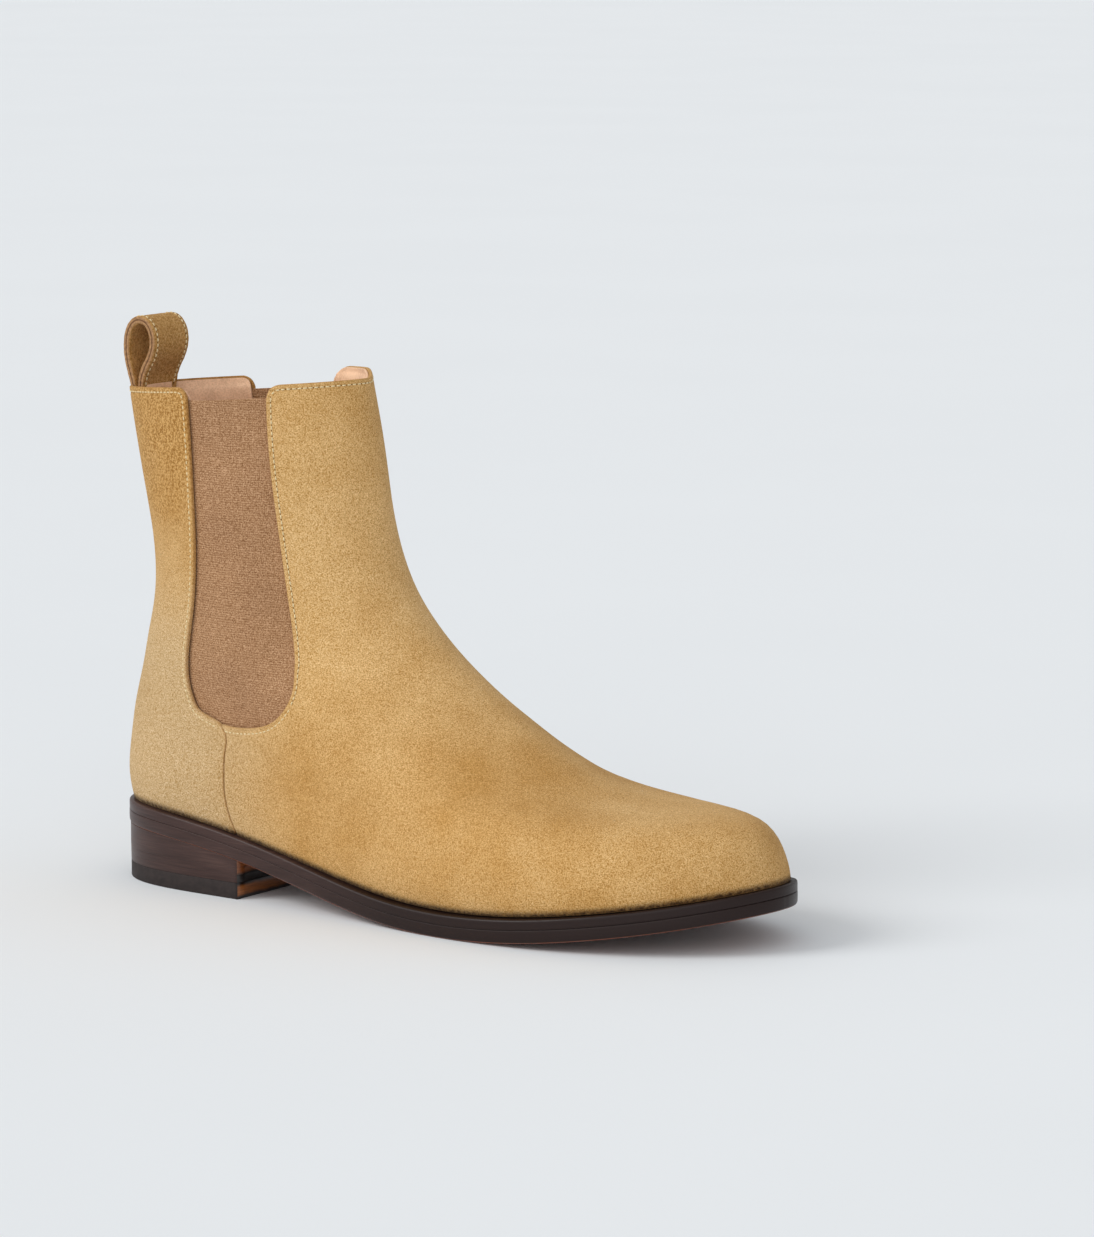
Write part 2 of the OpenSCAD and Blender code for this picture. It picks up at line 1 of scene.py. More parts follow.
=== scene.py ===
"""Looks of a suede chelsea boot for the right foot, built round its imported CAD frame.

Shapes are worked out in millimetres in the row frame: +X to the toe, -Y to the outer side of the
foot, +Z up. A place on the upper is a station t, from 0 at the welt to 11 at the top line, and an
angle phi in degrees, from 0 at the back over 90 at the outer side to 180 at the front.
"""
import bpy
import numpy as np
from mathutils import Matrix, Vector


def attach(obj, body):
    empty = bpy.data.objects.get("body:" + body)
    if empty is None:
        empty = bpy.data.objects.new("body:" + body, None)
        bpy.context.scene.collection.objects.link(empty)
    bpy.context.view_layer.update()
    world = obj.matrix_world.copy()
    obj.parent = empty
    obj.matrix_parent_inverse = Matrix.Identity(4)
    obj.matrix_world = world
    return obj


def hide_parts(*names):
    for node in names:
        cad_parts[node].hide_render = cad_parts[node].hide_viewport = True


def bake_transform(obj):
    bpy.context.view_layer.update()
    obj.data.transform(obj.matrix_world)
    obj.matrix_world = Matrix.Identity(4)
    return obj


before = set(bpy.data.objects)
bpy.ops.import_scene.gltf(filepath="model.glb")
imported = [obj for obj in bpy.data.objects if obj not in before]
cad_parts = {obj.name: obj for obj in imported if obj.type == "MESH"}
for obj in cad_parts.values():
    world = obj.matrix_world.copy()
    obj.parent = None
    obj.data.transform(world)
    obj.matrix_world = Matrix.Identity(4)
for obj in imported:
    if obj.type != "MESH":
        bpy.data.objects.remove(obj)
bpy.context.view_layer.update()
MM = 0.001

# ---- Form of the upper and the sole: the same rule and the same lines as in the CAD ----

LAST = [  # back x, z; front x, z; follows the feather line; half breadths every 30 degrees
    [-34, 31, 262, 23.5, 1, 69, 54, 40.5, 45.5, 59, 62, 57, 63, 51.5, 32, 32.5, 53.5],
    [-35, 37, 259.5, 33, 0.9, 70, 56, 42.5, 48, 62, 64, 60, 65, 54, 35, 35, 56],
    [-35.5, 46, 251, 46.5, 0.7, 70, 57, 43.5, 48, 60, 59, 54, 60, 53, 38, 37, 57],
    [-34.5, 58, 229, 52, 0.45, 66, 54, 43, 46, 53, 50, 44, 50, 48, 40, 38, 54],
    [-33, 71, 189.5, 55, 0.2, 58, 50, 42.5, 44, 47, 45, 40, 45, 45, 41, 39, 50],
    [-29.5, 85, 152, 71, 0.05, 50, 45, 41, 42, 42, 39, 35, 39, 41, 40, 37, 45],
    [-27, 99, 119, 91.5, 0, 43, 41, 39, 40, 39, 36, 33, 36, 38, 39, 36, 41],
    [-23, 116, 95.5, 115.5, 0, 39, 38, 37.5, 37.5, 36, 33, 30, 33, 36, 37, 35.5, 38],
    [-24, 135, 85, 141.5, 0, 37, 35.5, 35, 34.5, 33, 30.5, 28, 30.5, 33, 34.5, 34, 35.5],
    [-29, 157, 80.5, 165, 0, 37, 34.5, 33.5, 33, 31.5, 29, 27, 29, 31.5, 33, 32.5, 34.5],
    [-32.5, 177, 77, 186, 0, 38, 34, 32.5, 32, 30.5, 28, 26, 28, 30.5, 32, 31.5, 34],
    [-35, 194, 74, 202.5, 0, 39, 34, 31.5, 31.5, 30, 27, 24.5, 27, 30, 31.5, 31, 34],
]
TOP = len(LAST) - 1
ARCH = [22, 21.3, 18.2, 12.9, 6.8, 1.6, 0.08, 1.5, 5.2, 10.1, 16.3, 23.5]
ARCH_START, ARCH_STEP = -42, 31
OUTSOLE, WELT, WELT_WIDTH = 5, 4, 11
INSOLE, SOCK, GLUE = 2.3, 0.9, 0.1
SOLE_BACK, SOLE_FRONT = -35.5, 264.5
SOLE_OUT = [71.4, 60, 42.7, 50.5, 63, 66, 60, 66, 56.6, 37, 34.6, 60]
# Angles of the side seam and the back edge of the gore, at whole stations
BACK_EDGE = [58.2, 57.8, 57.9, 59.8, 60, 57.2, 62.2, 69.2, 73.6, 76.7, 78.3, 79.5]
# Stations of the lower border of the gore, every GORE_STEP degrees from GORE_START
GORE_UNDER = [4.17, 4.17, 4.2, 4.3, 4.44, 4.64, 4.9, 5.19, 5.51, 5.9, 6.36, 6.85]
GORE_START, GORE_STEP = 60, 5
# Angles of the front border of the gore, at whole stations from FRONT_START
GORE_FRONT = [69, 91, 106, 114, 115.6, 115.2, 116, 118]
FRONT_START = 4
# How the seam steps forward at the gore: station, reach below it and above it, degrees
SEAM_STEP = (4.17, 0.8, 0.14, 6.5)
# How far the inner gore opening is turned back at the top line: its back edge, its front edge
INNER_TURN = (12, 5)
# How far the inner half of the front stands above the top line, in stations
INNER_LIFT = 0.2


def fair(points):
    """Control points of a curve that runs close by the points."""
    p = np.array(points, float)
    m = p.copy()
    m[1:-1] -= (p[:-2] - 2 * p[1:-1] + p[2:]) / 6
    return np.concatenate([[2 * m[0] - m[1]], m, [2 * m[-1] - m[-2]]])


def ring(widths):
    """Control points of a closed curve that runs close by the widths."""
    w = np.array(widths, float)
    return w - (np.roll(w, 1, -1) - 2 * w + np.roll(w, -1, -1)) / 6


def cubic(a, b, c, d, u):
    return ((1 - u) ** 3 * a + (3 * u**3 - 6 * u**2 + 4) * b
            + (-3 * u**3 + 3 * u**2 + 3 * u + 1) * c + u**3 * d) / 6


def along(control, t):
    """Point of an open curve; whole numbers of t are its tabled points."""
    t = np.asarray(t, float)
    k = np.clip(np.floor(t).astype(int), 0, len(control) - 4)
    u = (t - k).reshape(t.shape + (1,) * (control.ndim - 1))
    return cubic(control[k], control[k + 1], control[k + 2], control[k + 3], u)


def around(widths, phi):
    """Value of closed curves at an angle; widths holds one curve for each point or one for all."""
    phi = np.asarray(phi, float)
    n = widths.shape[-1]
    s = phi * n / 360
    k = np.floor(s).astype(int)
    rings = np.broadcast_to(widths, phi.shape + (n,))
    at = [np.take_along_axis(rings, ((k + o) % n)[..., None], -1)[..., 0] for o in (-1, 0, 1, 2)]
    return cubic(*at, s - k)


FORM = fair([row[:5] + list(ring(row[5:])) for row in LAST])
ARCH_CURVE, BACK_CURVE, UNDER_CURVE, FRONT_CURVE = map(fair, (ARCH, BACK_EDGE, GORE_UNDER, GORE_FRONT))
SOLE_CURVE, FEATHER_CURVE = ring(SOLE_OUT), ring(LAST[0][5:])


def mix(a, b, s):
    return a + (b - a) * s


def smooth(s):
    s = np.clip(s, 0, 1)
    return s * s * (3 - 2 * s)


def unit(v):
    return v / np.maximum(np.linalg.norm(v, axis=-1, keepdims=True), 1e-9)


def run_along(p):
    """Length of a line of points up to each of them."""
    return np.concatenate([[0], np.cumsum(np.linalg.norm(np.diff(p, axis=0), axis=1))])


def arch(x):
    return along(ARCH_CURVE, (np.asarray(x) - ARCH_START) / ARCH_STEP)


def feather(x):
    return arch(x) + OUTSOLE + WELT + GLUE


def turn(t, side):
    """Share of INNER_TURN at a station; side is 1 on the outer side of the boot and -1 on the inner."""
    return 0.0 if side > 0 else smooth((np.asarray(t) - 5.5) / 5.5)


def back_line(t, side):
    return along(BACK_CURVE, t) - INNER_TURN[0] * turn(t, side)


def back_edge(t, side=1):
    where, below, above, degrees = SEAM_STEP
    away = np.asarray(t) - where
    return back_line(t, side) + degrees * np.exp(-((away / np.where(away < 0, below, above)) ** 2))


def gore_under(phi):
    return along(UNDER_CURVE, (np.asarray(phi) - GORE_START) / GORE_STEP)


def gore_front(t, side):
    return along(FRONT_CURVE, np.asarray(t) - FRONT_START) - INNER_TURN[1] * turn(t, side)


def lift(t, phi):
    """How far the top line stands above its station on the inner half of the front."""
    return INNER_LIFT * smooth((t - 8) / 3) * smooth((phi - 185) / 30)


def form(t, phi):
    """Point of the ideal form of the upper."""
    t, phi = np.broadcast_arrays(np.asarray(t, float), np.asarray(phi, float))
    v = along(FORM, t)
    angle = np.radians(phi)
    f = (1 - np.cos(angle)) / 2
    x = mix(v[..., 0], v[..., 2], f)
    base_line = mix(LAST[0][1], LAST[0][3], (x - LAST[0][0]) / (LAST[0][2] - LAST[0][0]))
    z = mix(v[..., 1], v[..., 3], f) + v[..., 4] * (feather(x) - base_line)
    return np.stack([x, -around(v[..., 5:], phi) * np.sin(angle), z], -1)


rng = np.random.default_rng(11)
WAVES = [(rng.normal(size=3) / length, rng.uniform(0, 6.28), height)
         for length, height in [(16, 0.14), (20, 0.14), (13, 0.1), (9, 0.07), (6, 0.04), (4.5, 0.03)]]


def unevenness(p):
    """How far the hand-lasted leather stands off the ideal form, in slow waves."""
    return sum(height * np.sin(p @ direction + phase) for direction, phase, height in WAVES)


def skin(t, phi, depth):
    """Points at a depth below the outside, and the outward normals there."""
    t, phi, depth = np.broadcast_arrays(t, phi, depth)
    p = form(t, phi)
    n = unit(np.cross(form(t, phi + 0.5) - form(t, phi - 0.5),
                      form(t + 0.05, phi) - form(t - 0.05, phi)))
    rest = smooth((p[..., 2] - feather(p[..., 0])) / 12)
    q = p + (rest * unevenness(p) - depth)[..., None] * n
    q[..., 2] = np.maximum(q[..., 2], feather(q[..., 0]) + 0.05)
    return q, n


# ---- Meshes ----

def placed(name, data):
    made = bpy.data.objects.new(name, data)
    bpy.context.scene.collection.objects.link(made)
    return made


def mesh(name, verts, faces, materials, index=None, attributes=None):
    """Mesh object from points in millimetres, with its rest place stored for the textures."""
    data = bpy.data.meshes.new(name)
    points = np.asarray(verts, float) * MM
    data.from_pydata(points.tolist(), [], [list(map(int, f)) for f in faces])
    data.validate()
    for m in materials:
        data.materials.append(m)
    if index is not None:
        data.polygons.foreach_set("material_index", np.asarray(index, np.int32))
    data.polygons.foreach_set("use_smooth", np.ones(len(data.polygons), bool))
    data.attributes.new("rest", "FLOAT_VECTOR", "POINT").data.foreach_set("vector", points.ravel())
    for key, values in (attributes or {}).items():
        stored = data.attributes.new(key, "FLOAT", "POINT")
        stored.data.foreach_set("value", np.asarray(values, np.float32))
    data.update()
    return placed(name, data)


def border_of(idx):
    """Numbers of the points round a grid, each once."""
    return np.concatenate([idx[:, 0], idx[-1, 1:], idx[-2::-1, -1], idx[0, -2:0:-1]])


def grid_faces(idx):
    a, b, c, d = idx[:-1, :-1], idx[1:, :-1], idx[1:, 1:], idx[:-1, 1:]
    return np.stack([a, b, c, d], -1).reshape(-1, 4)


def round_rim(radius, thickness, inner=0.25):
    """Rim of a sheet: (share of the thickness, how far out), round outside and nearly square inside."""
    arc = [(radius * (1 - np.cos(a)) / thickness, radius * np.sin(a))
           for a in np.radians([30, 60, 90])]
    return arc + [(1 - inner / thickness, radius), (1 - 0.08 * inner / thickness, radius - 0.3 * inner)]


def solid(outer, inner, rim):
    """Closed solid between two grids of points, with a shaped rim: its points, its faces and where
    these lie, 0 outside, 1 inside and 2 on the rim."""
    nu, nv = outer.shape[:2]
    idx = np.arange(nu * nv).reshape(nu, nv)
    loop = border_of(idx)
    i, j = np.unravel_index(loop, (nu, nv))
    near = idx[np.clip(i, 1, nu - 2), np.clip(j, 1, nv - 2)]
    top, low = outer.reshape(-1, 3), inner.reshape(-1, 3)
    normal = unit(top[loop] - low[loop])
    out = unit(np.cross(np.roll(top[loop], -1, 0) - np.roll(top[loop], 1, 0), normal))
    if np.sum(out * (top[loop] - top[near])) < 0:
        out = -out
    rings = [mix(top[loop], low[loop], share) + reach * out for share, reach in rim]
    verts = np.concatenate([top, low] + rings)
    size, n = nu * nv, len(loop)
    outside, inside = grid_faces(idx), grid_faces(idx + size)[:, ::-1]
    ids = [loop] + [2 * size + k * n + np.arange(n) for k in range(len(rim))] + [loop + size]
    edge = np.concatenate([np.stack([a, np.roll(a, -1), np.roll(b, -1), b], -1)[:, ::-1]
                           for a, b in zip(ids[:-1], ids[1:])])
    where = np.repeat([0, 1, 2], [len(outside), len(inside), len(edge)])
    faces = np.concatenate([outside, inside, edge])
    a, b, d = (top[outside[0][k]] for k in (0, 1, 3))
    if np.dot(np.cross(b - a, d - a), top[outside[0][0]] - low[outside[0][0]]) < 0:
        faces = faces[:, ::-1]
    return verts, faces, where


def loft(rings, closed=False, first=0):
    """Skin over a row of closed rings of points, with capped ends unless the row itself is closed."""
    n, m = rings.shape[:2]
    idx = first + np.arange(n * m).reshape(n, m)
    if closed:
        idx = np.vstack([idx, idx[:1]])
    wrap = np.hstack([idx, idx[:, :1]])
    faces = [list(f) for f in grid_faces(wrap)]
    if not closed:
        faces += [list(idx[0]), list(idx[-1][::-1])]
    return rings.reshape(-1, 3), faces


# ---- Grids over the upper ----

# Distances of the first lines from an edge, and which of them lies on the row of stitches
FINE = np.array([0, 0.45, 0.9, 1.35, 1.8, 2.3, 2.9, 3.8, 5.2])
LINE = 3
STITCH_INSET = 1.9
FLANK = 35  # angle at which rows are spaced up the back of the boot


def spaced(length, middle, inset=0.6):
    """Distances along a line: close together next to its two ends, even between."""
    ends = FINE + inset
    between = np.linspace(ends[-1], length - ends[-1], middle + 2)[1:-1]
    return np.concatenate([ends, between, length - ends[::-1]])


def lay(line, middle, inset=0.6):
    """Stations and angles at spaced() distances along a finely sampled line, and those distances."""
    p = form(line[:, 0], line[:, 1])
    run = run_along(p)
    at = spaced(run[-1], middle, inset)
    tp = np.stack([np.interp(at, run, line[:, k]) for k in (0, 1)], -1)
    return tp, np.minimum(at, run[-1] - at), at


def stations(phi, low, high, middle):
    """Stations at spaced() distances up the form between two stations."""
    t = np.linspace(low, high, 400)
    tp, _, _ = lay(np.stack([t, np.full_like(t, phi)], -1), middle)
    return tp[:, 0]


def round_corners(tp, side, top, radius):
    """Moves the points of a grid so that its corners at the top line are round."""
    a, b = np.clip(1 - side / radius, 0, 1), np.clip(1 - top / radius, 0, 1)
    dx = radius * (a - a * np.sqrt(1 - b * b / 2))
    dz = radius * (b - b * np.sqrt(1 - a * a / 2))
    t, phi = tp[..., 0], tp[..., 1]
    per_degree = np.linalg.norm(form(t, phi + 0.5) - form(t, phi - 0.5), axis=-1)
    per_station = np.linalg.norm(form(t + 0.05, phi) - form(t - 0.05, phi), axis=-1) / 0.1
    centre = phi.mean(axis=1, keepdims=True)
    return np.stack([t - dz / per_station, phi + np.sign(centre - phi) * dx / per_degree], -1)


def rows_across(ts, ends, middle, inset=0.6):
    """Grid with a row at each station of ts between the angles ends(t): what lay() gives of each."""
    rows = [lay(np.stack([np.full(160, t), np.linspace(*ends(t), 160)], -1), middle, inset) for t in ts]
    return [np.array(part) for part in zip(*rows)]


def below_top(ts, like):
    """Distances of the rows of a grid from its last row, measured along the flank."""
    run = run_along(form(ts, np.full_like(ts, FLANK)))
    return (run[-1] - run)[:, None] + np.zeros_like(like)


def sheet(tp, near, far, rim):
    """Closed sheet over a grid of places, from one depth to another."""
    outer, _ = skin(tp[..., 0], tp[..., 1], near)
    inner, _ = skin(tp[..., 0], tp[..., 1], far)
    return solid(outer, inner, rim)


def groove(distance):
    """Dent along a row of stitches."""
    return 0.22 * np.exp(-(((distance - STITCH_INSET) / 0.6) ** 2))


# ---- Materials ----

def node(tree, kind, inputs=None, **settings):
    made = tree.nodes.new("ShaderNode" + kind)
    for key, value in settings.items():
        setattr(made, key, value)
    for key, value in (inputs or {}).items():
        socket = made.inputs[key]
        if isinstance(value, bpy.types.NodeSocket):
            tree.links.new(value, socket)
        else:
            socket.default_value = value
    return made


def linear(colour):
    """Linear colour with alpha, from a linear one or from a hexadecimal sRGB code."""
    if isinstance(colour, str):
        parts = [int(colour[k:k + 2], 16) / 255 for k in (0, 2, 4)]
        colour = [c / 12.92 if c <= 0.04045 else ((c + 0.055) / 1.055) ** 2.4 for c in parts]
    return (*colour, 1)


# Colours of the suede: light where the nap lies towards the light and where light is painted, dark
# where it lies away and where shade is painted, and the paler colour of painted light on the back of
# the boot
NAP_LIGHT, NAP_DARK, NAP_PAINTED_LIGHT = (0.65, 0.402, 0.166), (0.425, 0.199, 0.034), (0.54, 0.36, 0.178)
NAP_AND_SHADE = [  # places on the boot, the inner side folded onto the outer, and how dark the suede is there, partly from how the nap lies and partly painted shade and painted light
    (0, 30, 180, 1.05), (-5, 30, 155, 0.9), (0, 33, 130, 0.4), (0, 35, 90, 0.3), (-30, 0, 207, 0.85),
    (60, 27, 187, 0.2), (62, 28, 155, 0), (82, 5, 135, 0), (75, 35, 95, 0.2), (110, 25, 75, 0.15),
    (45, 45, 50, 0.4), (70, 50, 40, 0.6), (105, 50, 26, 0.5), (150, 30, 55, 0.58), (190, 40, 30, 0.5),
    (215, 12, 50, 0.08), (243, 20, 34, 0.35)]


def nap_and_shade_of(points):
    """How dark the suede is at each point, from how the nap lies and from painted shade, and how much
    painted light makes it paler on the back of the boot.
    """
    p = points * (1, 1, 1)
    p[:, 1] = np.abs(p[:, 1])
    table = np.array(NAP_AND_SHADE)
    weight = 1 / (np.linalg.norm(p[:, None] - table[None, :, :3], axis=-1) ** 3 + 300)
    dark = (weight * table[:, 3]).sum(1) / weight.sum(1)
    return dark, smooth((80 - p[:, 0]) / 70) * mix(0.24, 1, smooth((135 - p[:, 2]) / 50))


class Finish:
    """A material under construction: its tree, its texture coordinates and its shader."""

    def __init__(self, name, stored=True, **shader):
        self.material = bpy.data.materials.new(name)
        self.material.use_nodes = True
        self.tree = self.material.node_tree
        self.shader = self.tree.nodes["Principled BSDF"]
        for key, value in shader.items():
            self.shader.inputs[key.replace("_", " ")].default_value = value
        self.place = (node(self.tree, "Attribute", attribute_name="rest").outputs["Vector"] if stored
                      else node(self.tree, "TexCoord").outputs["Object"])

    def noise(self, size_mm, detail, roughness=0.5, stretch=None, shift=0.0):
        """Noise with features of about that size; stretch scales it along X, Y and Z."""
        vector = self.place
        if stretch or shift:
            vector = node(self.tree, "Mapping", {"Vector": vector, "Scale": stretch or (1, 1, 1),
                                                 "Location": (shift, shift, shift)}).outputs["Vector"]
        return node(self.tree, "TexNoise", {"Vector": vector, "Scale": 1000 / size_mm, "Detail": detail,
                                            "Roughness": roughness}).outputs["Fac"]

    def ramp(self, value, stops):
        made = node(self.tree, "ValToRGB", {"Fac": value})
        elements = made.color_ramp.elements
        while len(elements) < len(stops):
            elements.new(0.5)
        for element, (position, colour) in zip(elements, stops):
            element.position, element.color = position, linear(colour)
        return made.outputs["Color"]

    def math(self, operation, a, b=0.0, c=0.0, clamp=False):
        return node(self.tree, "Math", {0: a, 1: b, 2: c}, operation=operation,
                    use_clamp=clamp).outputs[0]

    def scale(self, value, factor, plus, clamp=False):
        return self.math("MULTIPLY_ADD", value, factor, plus, clamp)

    def blend(self, factor, a, b, kind="MIX"):
        """Blend of two colours, each a socket or a colour."""
        a, b = (c if isinstance(c, bpy.types.NodeSocket) else linear(c) for c in (a, b))
        return node(self.tree, "Mix", {"Factor": factor, 6: a, 7: b}, data_type="RGBA",
                    blend_type=kind).outputs[2]

    def stored(self, name):
        return node(self.tree, "Attribute", attribute_name=name).outputs["Fac"]

    def axis(self, letter):
        return node(self.tree, "SeparateXYZ", {0: self.place}).outputs[letter]

    def set(self, key, socket):
        self.tree.links.new(socket, self.shader.inputs[key])

    def bump(self, height, depth_mm, strength, under=None):
        inputs = {"Height": height, "Distance": depth_mm * MM, "Strength": strength}
        if under is not None:
            inputs["Normal"] = under
        return node(self.tree, "Bump", inputs).outputs["Normal"]


def suede_finish():
    """Camel suede; how dark it is, from how the nap lies and from painted shade, is stored in "nap" (0
    light, 1 dark), with a stored share of painted light that makes the back of the boot paler.
    """
    m = Finish("suede_camel", Roughness=0.95, Specular_IOR_Level=0.12, Sheen_Weight=0.2,
               Sheen_Roughness=0.5, Sheen_Tint=linear("f0dcb4"))
    speck = m.noise(0.5, 2, 0.75)
    nap = m.noise(1.5, 3, 0.65, shift=3)
    patch = m.noise(20, 3, 0.5, shift=7)
    brushed = m.noise(65, 2, 0.5, stretch=(0.7, 1, 1.3), shift=11)
    # grain: even over most of the boot, coarse where the stored nap, painted shade included, is dark
    even = m.scale(speck, 0.9, m.math("MULTIPLY", nap, 0.1))
    coarse = m.scale(m.noise(0.9, 3, 0.75, shift=9), 1.7, -0.35)
    rougher = m.scale(m.stored("nap"), 1.7, -0.75, clamp=True)
    tone = m.scale(m.math("SUBTRACT", coarse, even), rougher, even)
    grain = m.ramp(tone, [(0.36, (0.66, 0.55, 0.3)), (0.5, (1.05, 1.05, 1.03)),
                          (0.64, (1.4, 1.55, 1.9))])
    # how the nap lies at random, over the stored nap with its painted shade and painted light
    lie_and_shade = m.scale(m.math("SUBTRACT", patch, 0.5), 0.9, m.stored("nap"), clamp=True)
    base = m.blend(lie_and_shade, NAP_LIGHT, NAP_DARK)
    # painted light: the back of the boot, where the key light and sheen fall, is made paler
    base = m.blend(m.stored("painted_light"), base, NAP_PAINTED_LIGHT)
    cloud = m.ramp(brushed, [(0.34, (0.94, 0.92, 0.88)), (0.5, (1, 1, 1)), (0.66, (1.04, 1.05, 1.07))])
    colour = m.blend(1.0, base, grain, "MULTIPLY")
    colour = m.blend(1.0, colour, cloud, "MULTIPLY")
    burnt = m.math("MULTIPLY", m.stored("stain"), m.scale(nap, 1.5, 0.25), clamp=True)
    colour = m.blend(burnt, colour, "3b2410")
    # browner on the suede's inner side and raw edge, and on the whole pull loop as painted shade
    m.set("Base Color", m.blend(m.stored("cut_edge_and_shade"), colour, "a8763f"))
    rough = m.bump(speck, 0.6, 0.9)
    m.set("Normal", m.bump(nap, 0.45, 0.35, under=rough))
    return m.material


def elastic_finish():
    m = Finish("elastic_taupe", Roughness=0.8, Specular_IOR_Level=0.25, Sheen_Weight=0.12,
               Sheen_Roughness=0.4)
    x, y, z = m.axis("X"), m.axis("Y"), m.axis("Z")
    rib_pitch, knit_pitch, turn_angle = 0.9 * MM, 0.75 * MM, 6.2832
    around_boot = m.math("SUBTRACT", x, m.math("MULTIPLY", y, 0.3))
    wander = m.scale(m.noise(1.6, 2), rib_pitch, z)
    rib = m.math("SINE", m.math("MULTIPLY", wander, turn_angle / rib_pitch))
    knit = m.math("SINE", m.math("MULTIPLY", around_boot, turn_angle / knit_pitch))
    weave = m.scale(knit, 0.5, rib)
    height = m.scale(weave, 0.3, 0.5)
    fibre = m.noise(0.55, 2, 0.75)
    # the weave's troughs are painted darker than its ribs: painted shade, over the fibres' random tone
    shade = m.scale(fibre, 0.86, m.math("MULTIPLY", height, 0.14))
    base = m.ramp(shade, [(0.34, "744c28"), (0.5, "9e7652"), (0.66, "c49c78")])
    wide = m.ramp(m.noise(30, 2), [(0.35, (0.93, 0.91, 0.9)), (0.65, (1.05, 1.05, 1.05))])
    m.set("Base Color", m.blend(1.0, base, wide, "MULTIPLY"))
    m.set("Normal", m.bump(fibre, 0.3, 0.6, under=m.bump(height, 0.16, 0.6)))
    return m.material


def leather_finish(name, light, dark, roughness=0.5, pore_mm=0.7, bump_mm=0.12):
    m = Finish(name, Roughness=roughness, Specular_IOR_Level=0.35)
    pores = node(m.tree, "TexVoronoi", {"Vector": m.place, "Scale": 1000 / pore_mm},
                 feature="F1").outputs["Distance"]
    cloud = m.noise(14, 4, 0.6)
    tone = m.scale(pores, 0.25, m.math("MULTIPLY", cloud, 0.8))
    m.set("Base Color", m.ramp(tone, [(0.3, dark), (0.62, light)]))
    m.set("Roughness", m.scale(cloud, 0.2, roughness - 0.1))
    m.set("Normal", m.bump(m.noise(3.5, 3), 0.15, 0.4, under=m.bump(pores, bump_mm, 0.7)))
    return m.material


def sole_edge_finish(name):
    """Stained and waxed leather edge, whose layers show as fine level lines, with painted shade
    darkening it towards the toe.
    """
    m = Finish(name, Specular_IOR_Level=0.22, Coat_Weight=0.04, Coat_Roughness=0.25)
    lines = m.noise(9, 4, 0.65, stretch=(0.5, 0.5, 22))
    smear = m.noise(26, 3, 0.6, stretch=(0.6, 0.6, 3), shift=5)
    tone = m.scale(lines, 0.55, m.math("MULTIPLY", smear, 0.45))
    brown = m.ramp(tone, [(0.3, "2a1b18"), (0.52, "402d29"), (0.75, "5a433c")])
    # painted shade: the edge is darkened towards the toe, where it faces away from the light
    forward = m.scale(m.axis("X"), 1 / (80 * MM), -0.5, clamp=True)
    m.set("Base Color", m.blend(forward, brown, "221411"))
    m.set("Roughness", m.scale(smear, 0.3, 0.24))
    m.set("Normal", m.bump(lines, 0.12, 0.45))
    return m.material


def sole_bottom_finish(name, light, dark):
    m = Finish(name, Specular_IOR_Level=0.5, Coat_Weight=0.15, Coat_Roughness=0.25)
    fibres = m.noise(5, 4, 0.65, stretch=(0.35, 2.2, 1))
    cloud = m.noise(38, 3, 0.55, shift=2)
    tone = m.scale(fibres, 0.45, m.math("MULTIPLY", cloud, 0.55))
    m.set("Base Color", m.ramp(tone, [(0.33, dark), (0.66, light)]))
    m.set("Roughness", m.scale(cloud, 0.25, 0.25))
    m.set("Normal", m.bump(fibres, 0.1, 0.4))
    return m.material


def breast_finish():
    """Front of the heel: polished amber, coloured in bands by height, with a black band half way up and
    dark amber above.
    """
    m = Finish("heel_breast", Specular_IOR_Level=0.5, Coat_Weight=0.3, Coat_Roughness=0.2,
               Roughness=0.35)
    wander = m.scale(m.noise(8, 3), 1.6 * MM, m.axis("Z"))
    height = m.math("DIVIDE", wander, 16 * MM)
    amber, dark = "8a4f1c", "140c09"
    band = m.ramp(height, [(0.1, dark), (0.17, amber), (0.34, amber), (0.42, dark), (0.66, dark),
                          (0.74, "7a431a")])
    streaks = m.ramp(m.noise(6, 4, 0.6, stretch=(1, 1, 14)),
                     [(0.35, (0.7, 0.66, 0.6)), (0.65, (1.2, 1.2, 1.2))])
    m.set("Base Color", m.blend(1.0, band, streaks, "MULTIPLY"))
    return m.material


def plain_finish(name, light, dark, roughness, size_mm, bump_mm=0.1, stored=True, **extra):
    """Speckled finish for small and hidden parts."""
    m = Finish(name, stored, Roughness=roughness, **extra)
    grain = m.noise(size_mm, 4, 0.65)
    m.set("Base Color", m.ramp(grain, [(0.32, dark), (0.68, light)]))
    m.set("Normal", m.bump(grain, bump_mm, 0.6))
    return m.material


def thread_finish():
    m = Finish("thread_cream", Roughness=0.7, Specular_IOR_Level=0.3, Sheen_Weight=0.2)
    strands = m.noise(0.35, 2, 0.6, stretch=(1, 1, 2.5))
    m.set("Base Color", m.ramp(strands, [(0.3, "c8a86e"), (0.65, "f0e2b8")]))
    m.set("Normal", m.bump(strands, 0.08, 0.7))
    return m.material


SUEDE = suede_finish()
ELASTIC = elastic_finish()
# taupe lining painted lighter than its own colour: painted light, standing in for the light that falls
# into the boot
LINING_PAINTED_LIGHT = leather_finish("lining_taupe_painted_light", "f5caa5", "cb9f7c")
STRAP_EDGE = plain_finish("strap_edge", "ba8f62", "7e5a38", 0.9, 1.1, 0.35)
GLUE_LINE = plain_finish("strap_glue_line", "7d5634", "54371f", 0.9, 1.1, 0.2)
EDGE = sole_edge_finish("sole_edge")
BOTTOM = sole_bottom_finish("sole_bottom", "7e3f22", "55270f")
BREAST = breast_finish()
RUBBER = plain_finish("rubber_black", "2e2422", "1e1614", 0.7, 3, 0.1,
                      Specular_IOR_Level=0.35)
THREAD = thread_finish()
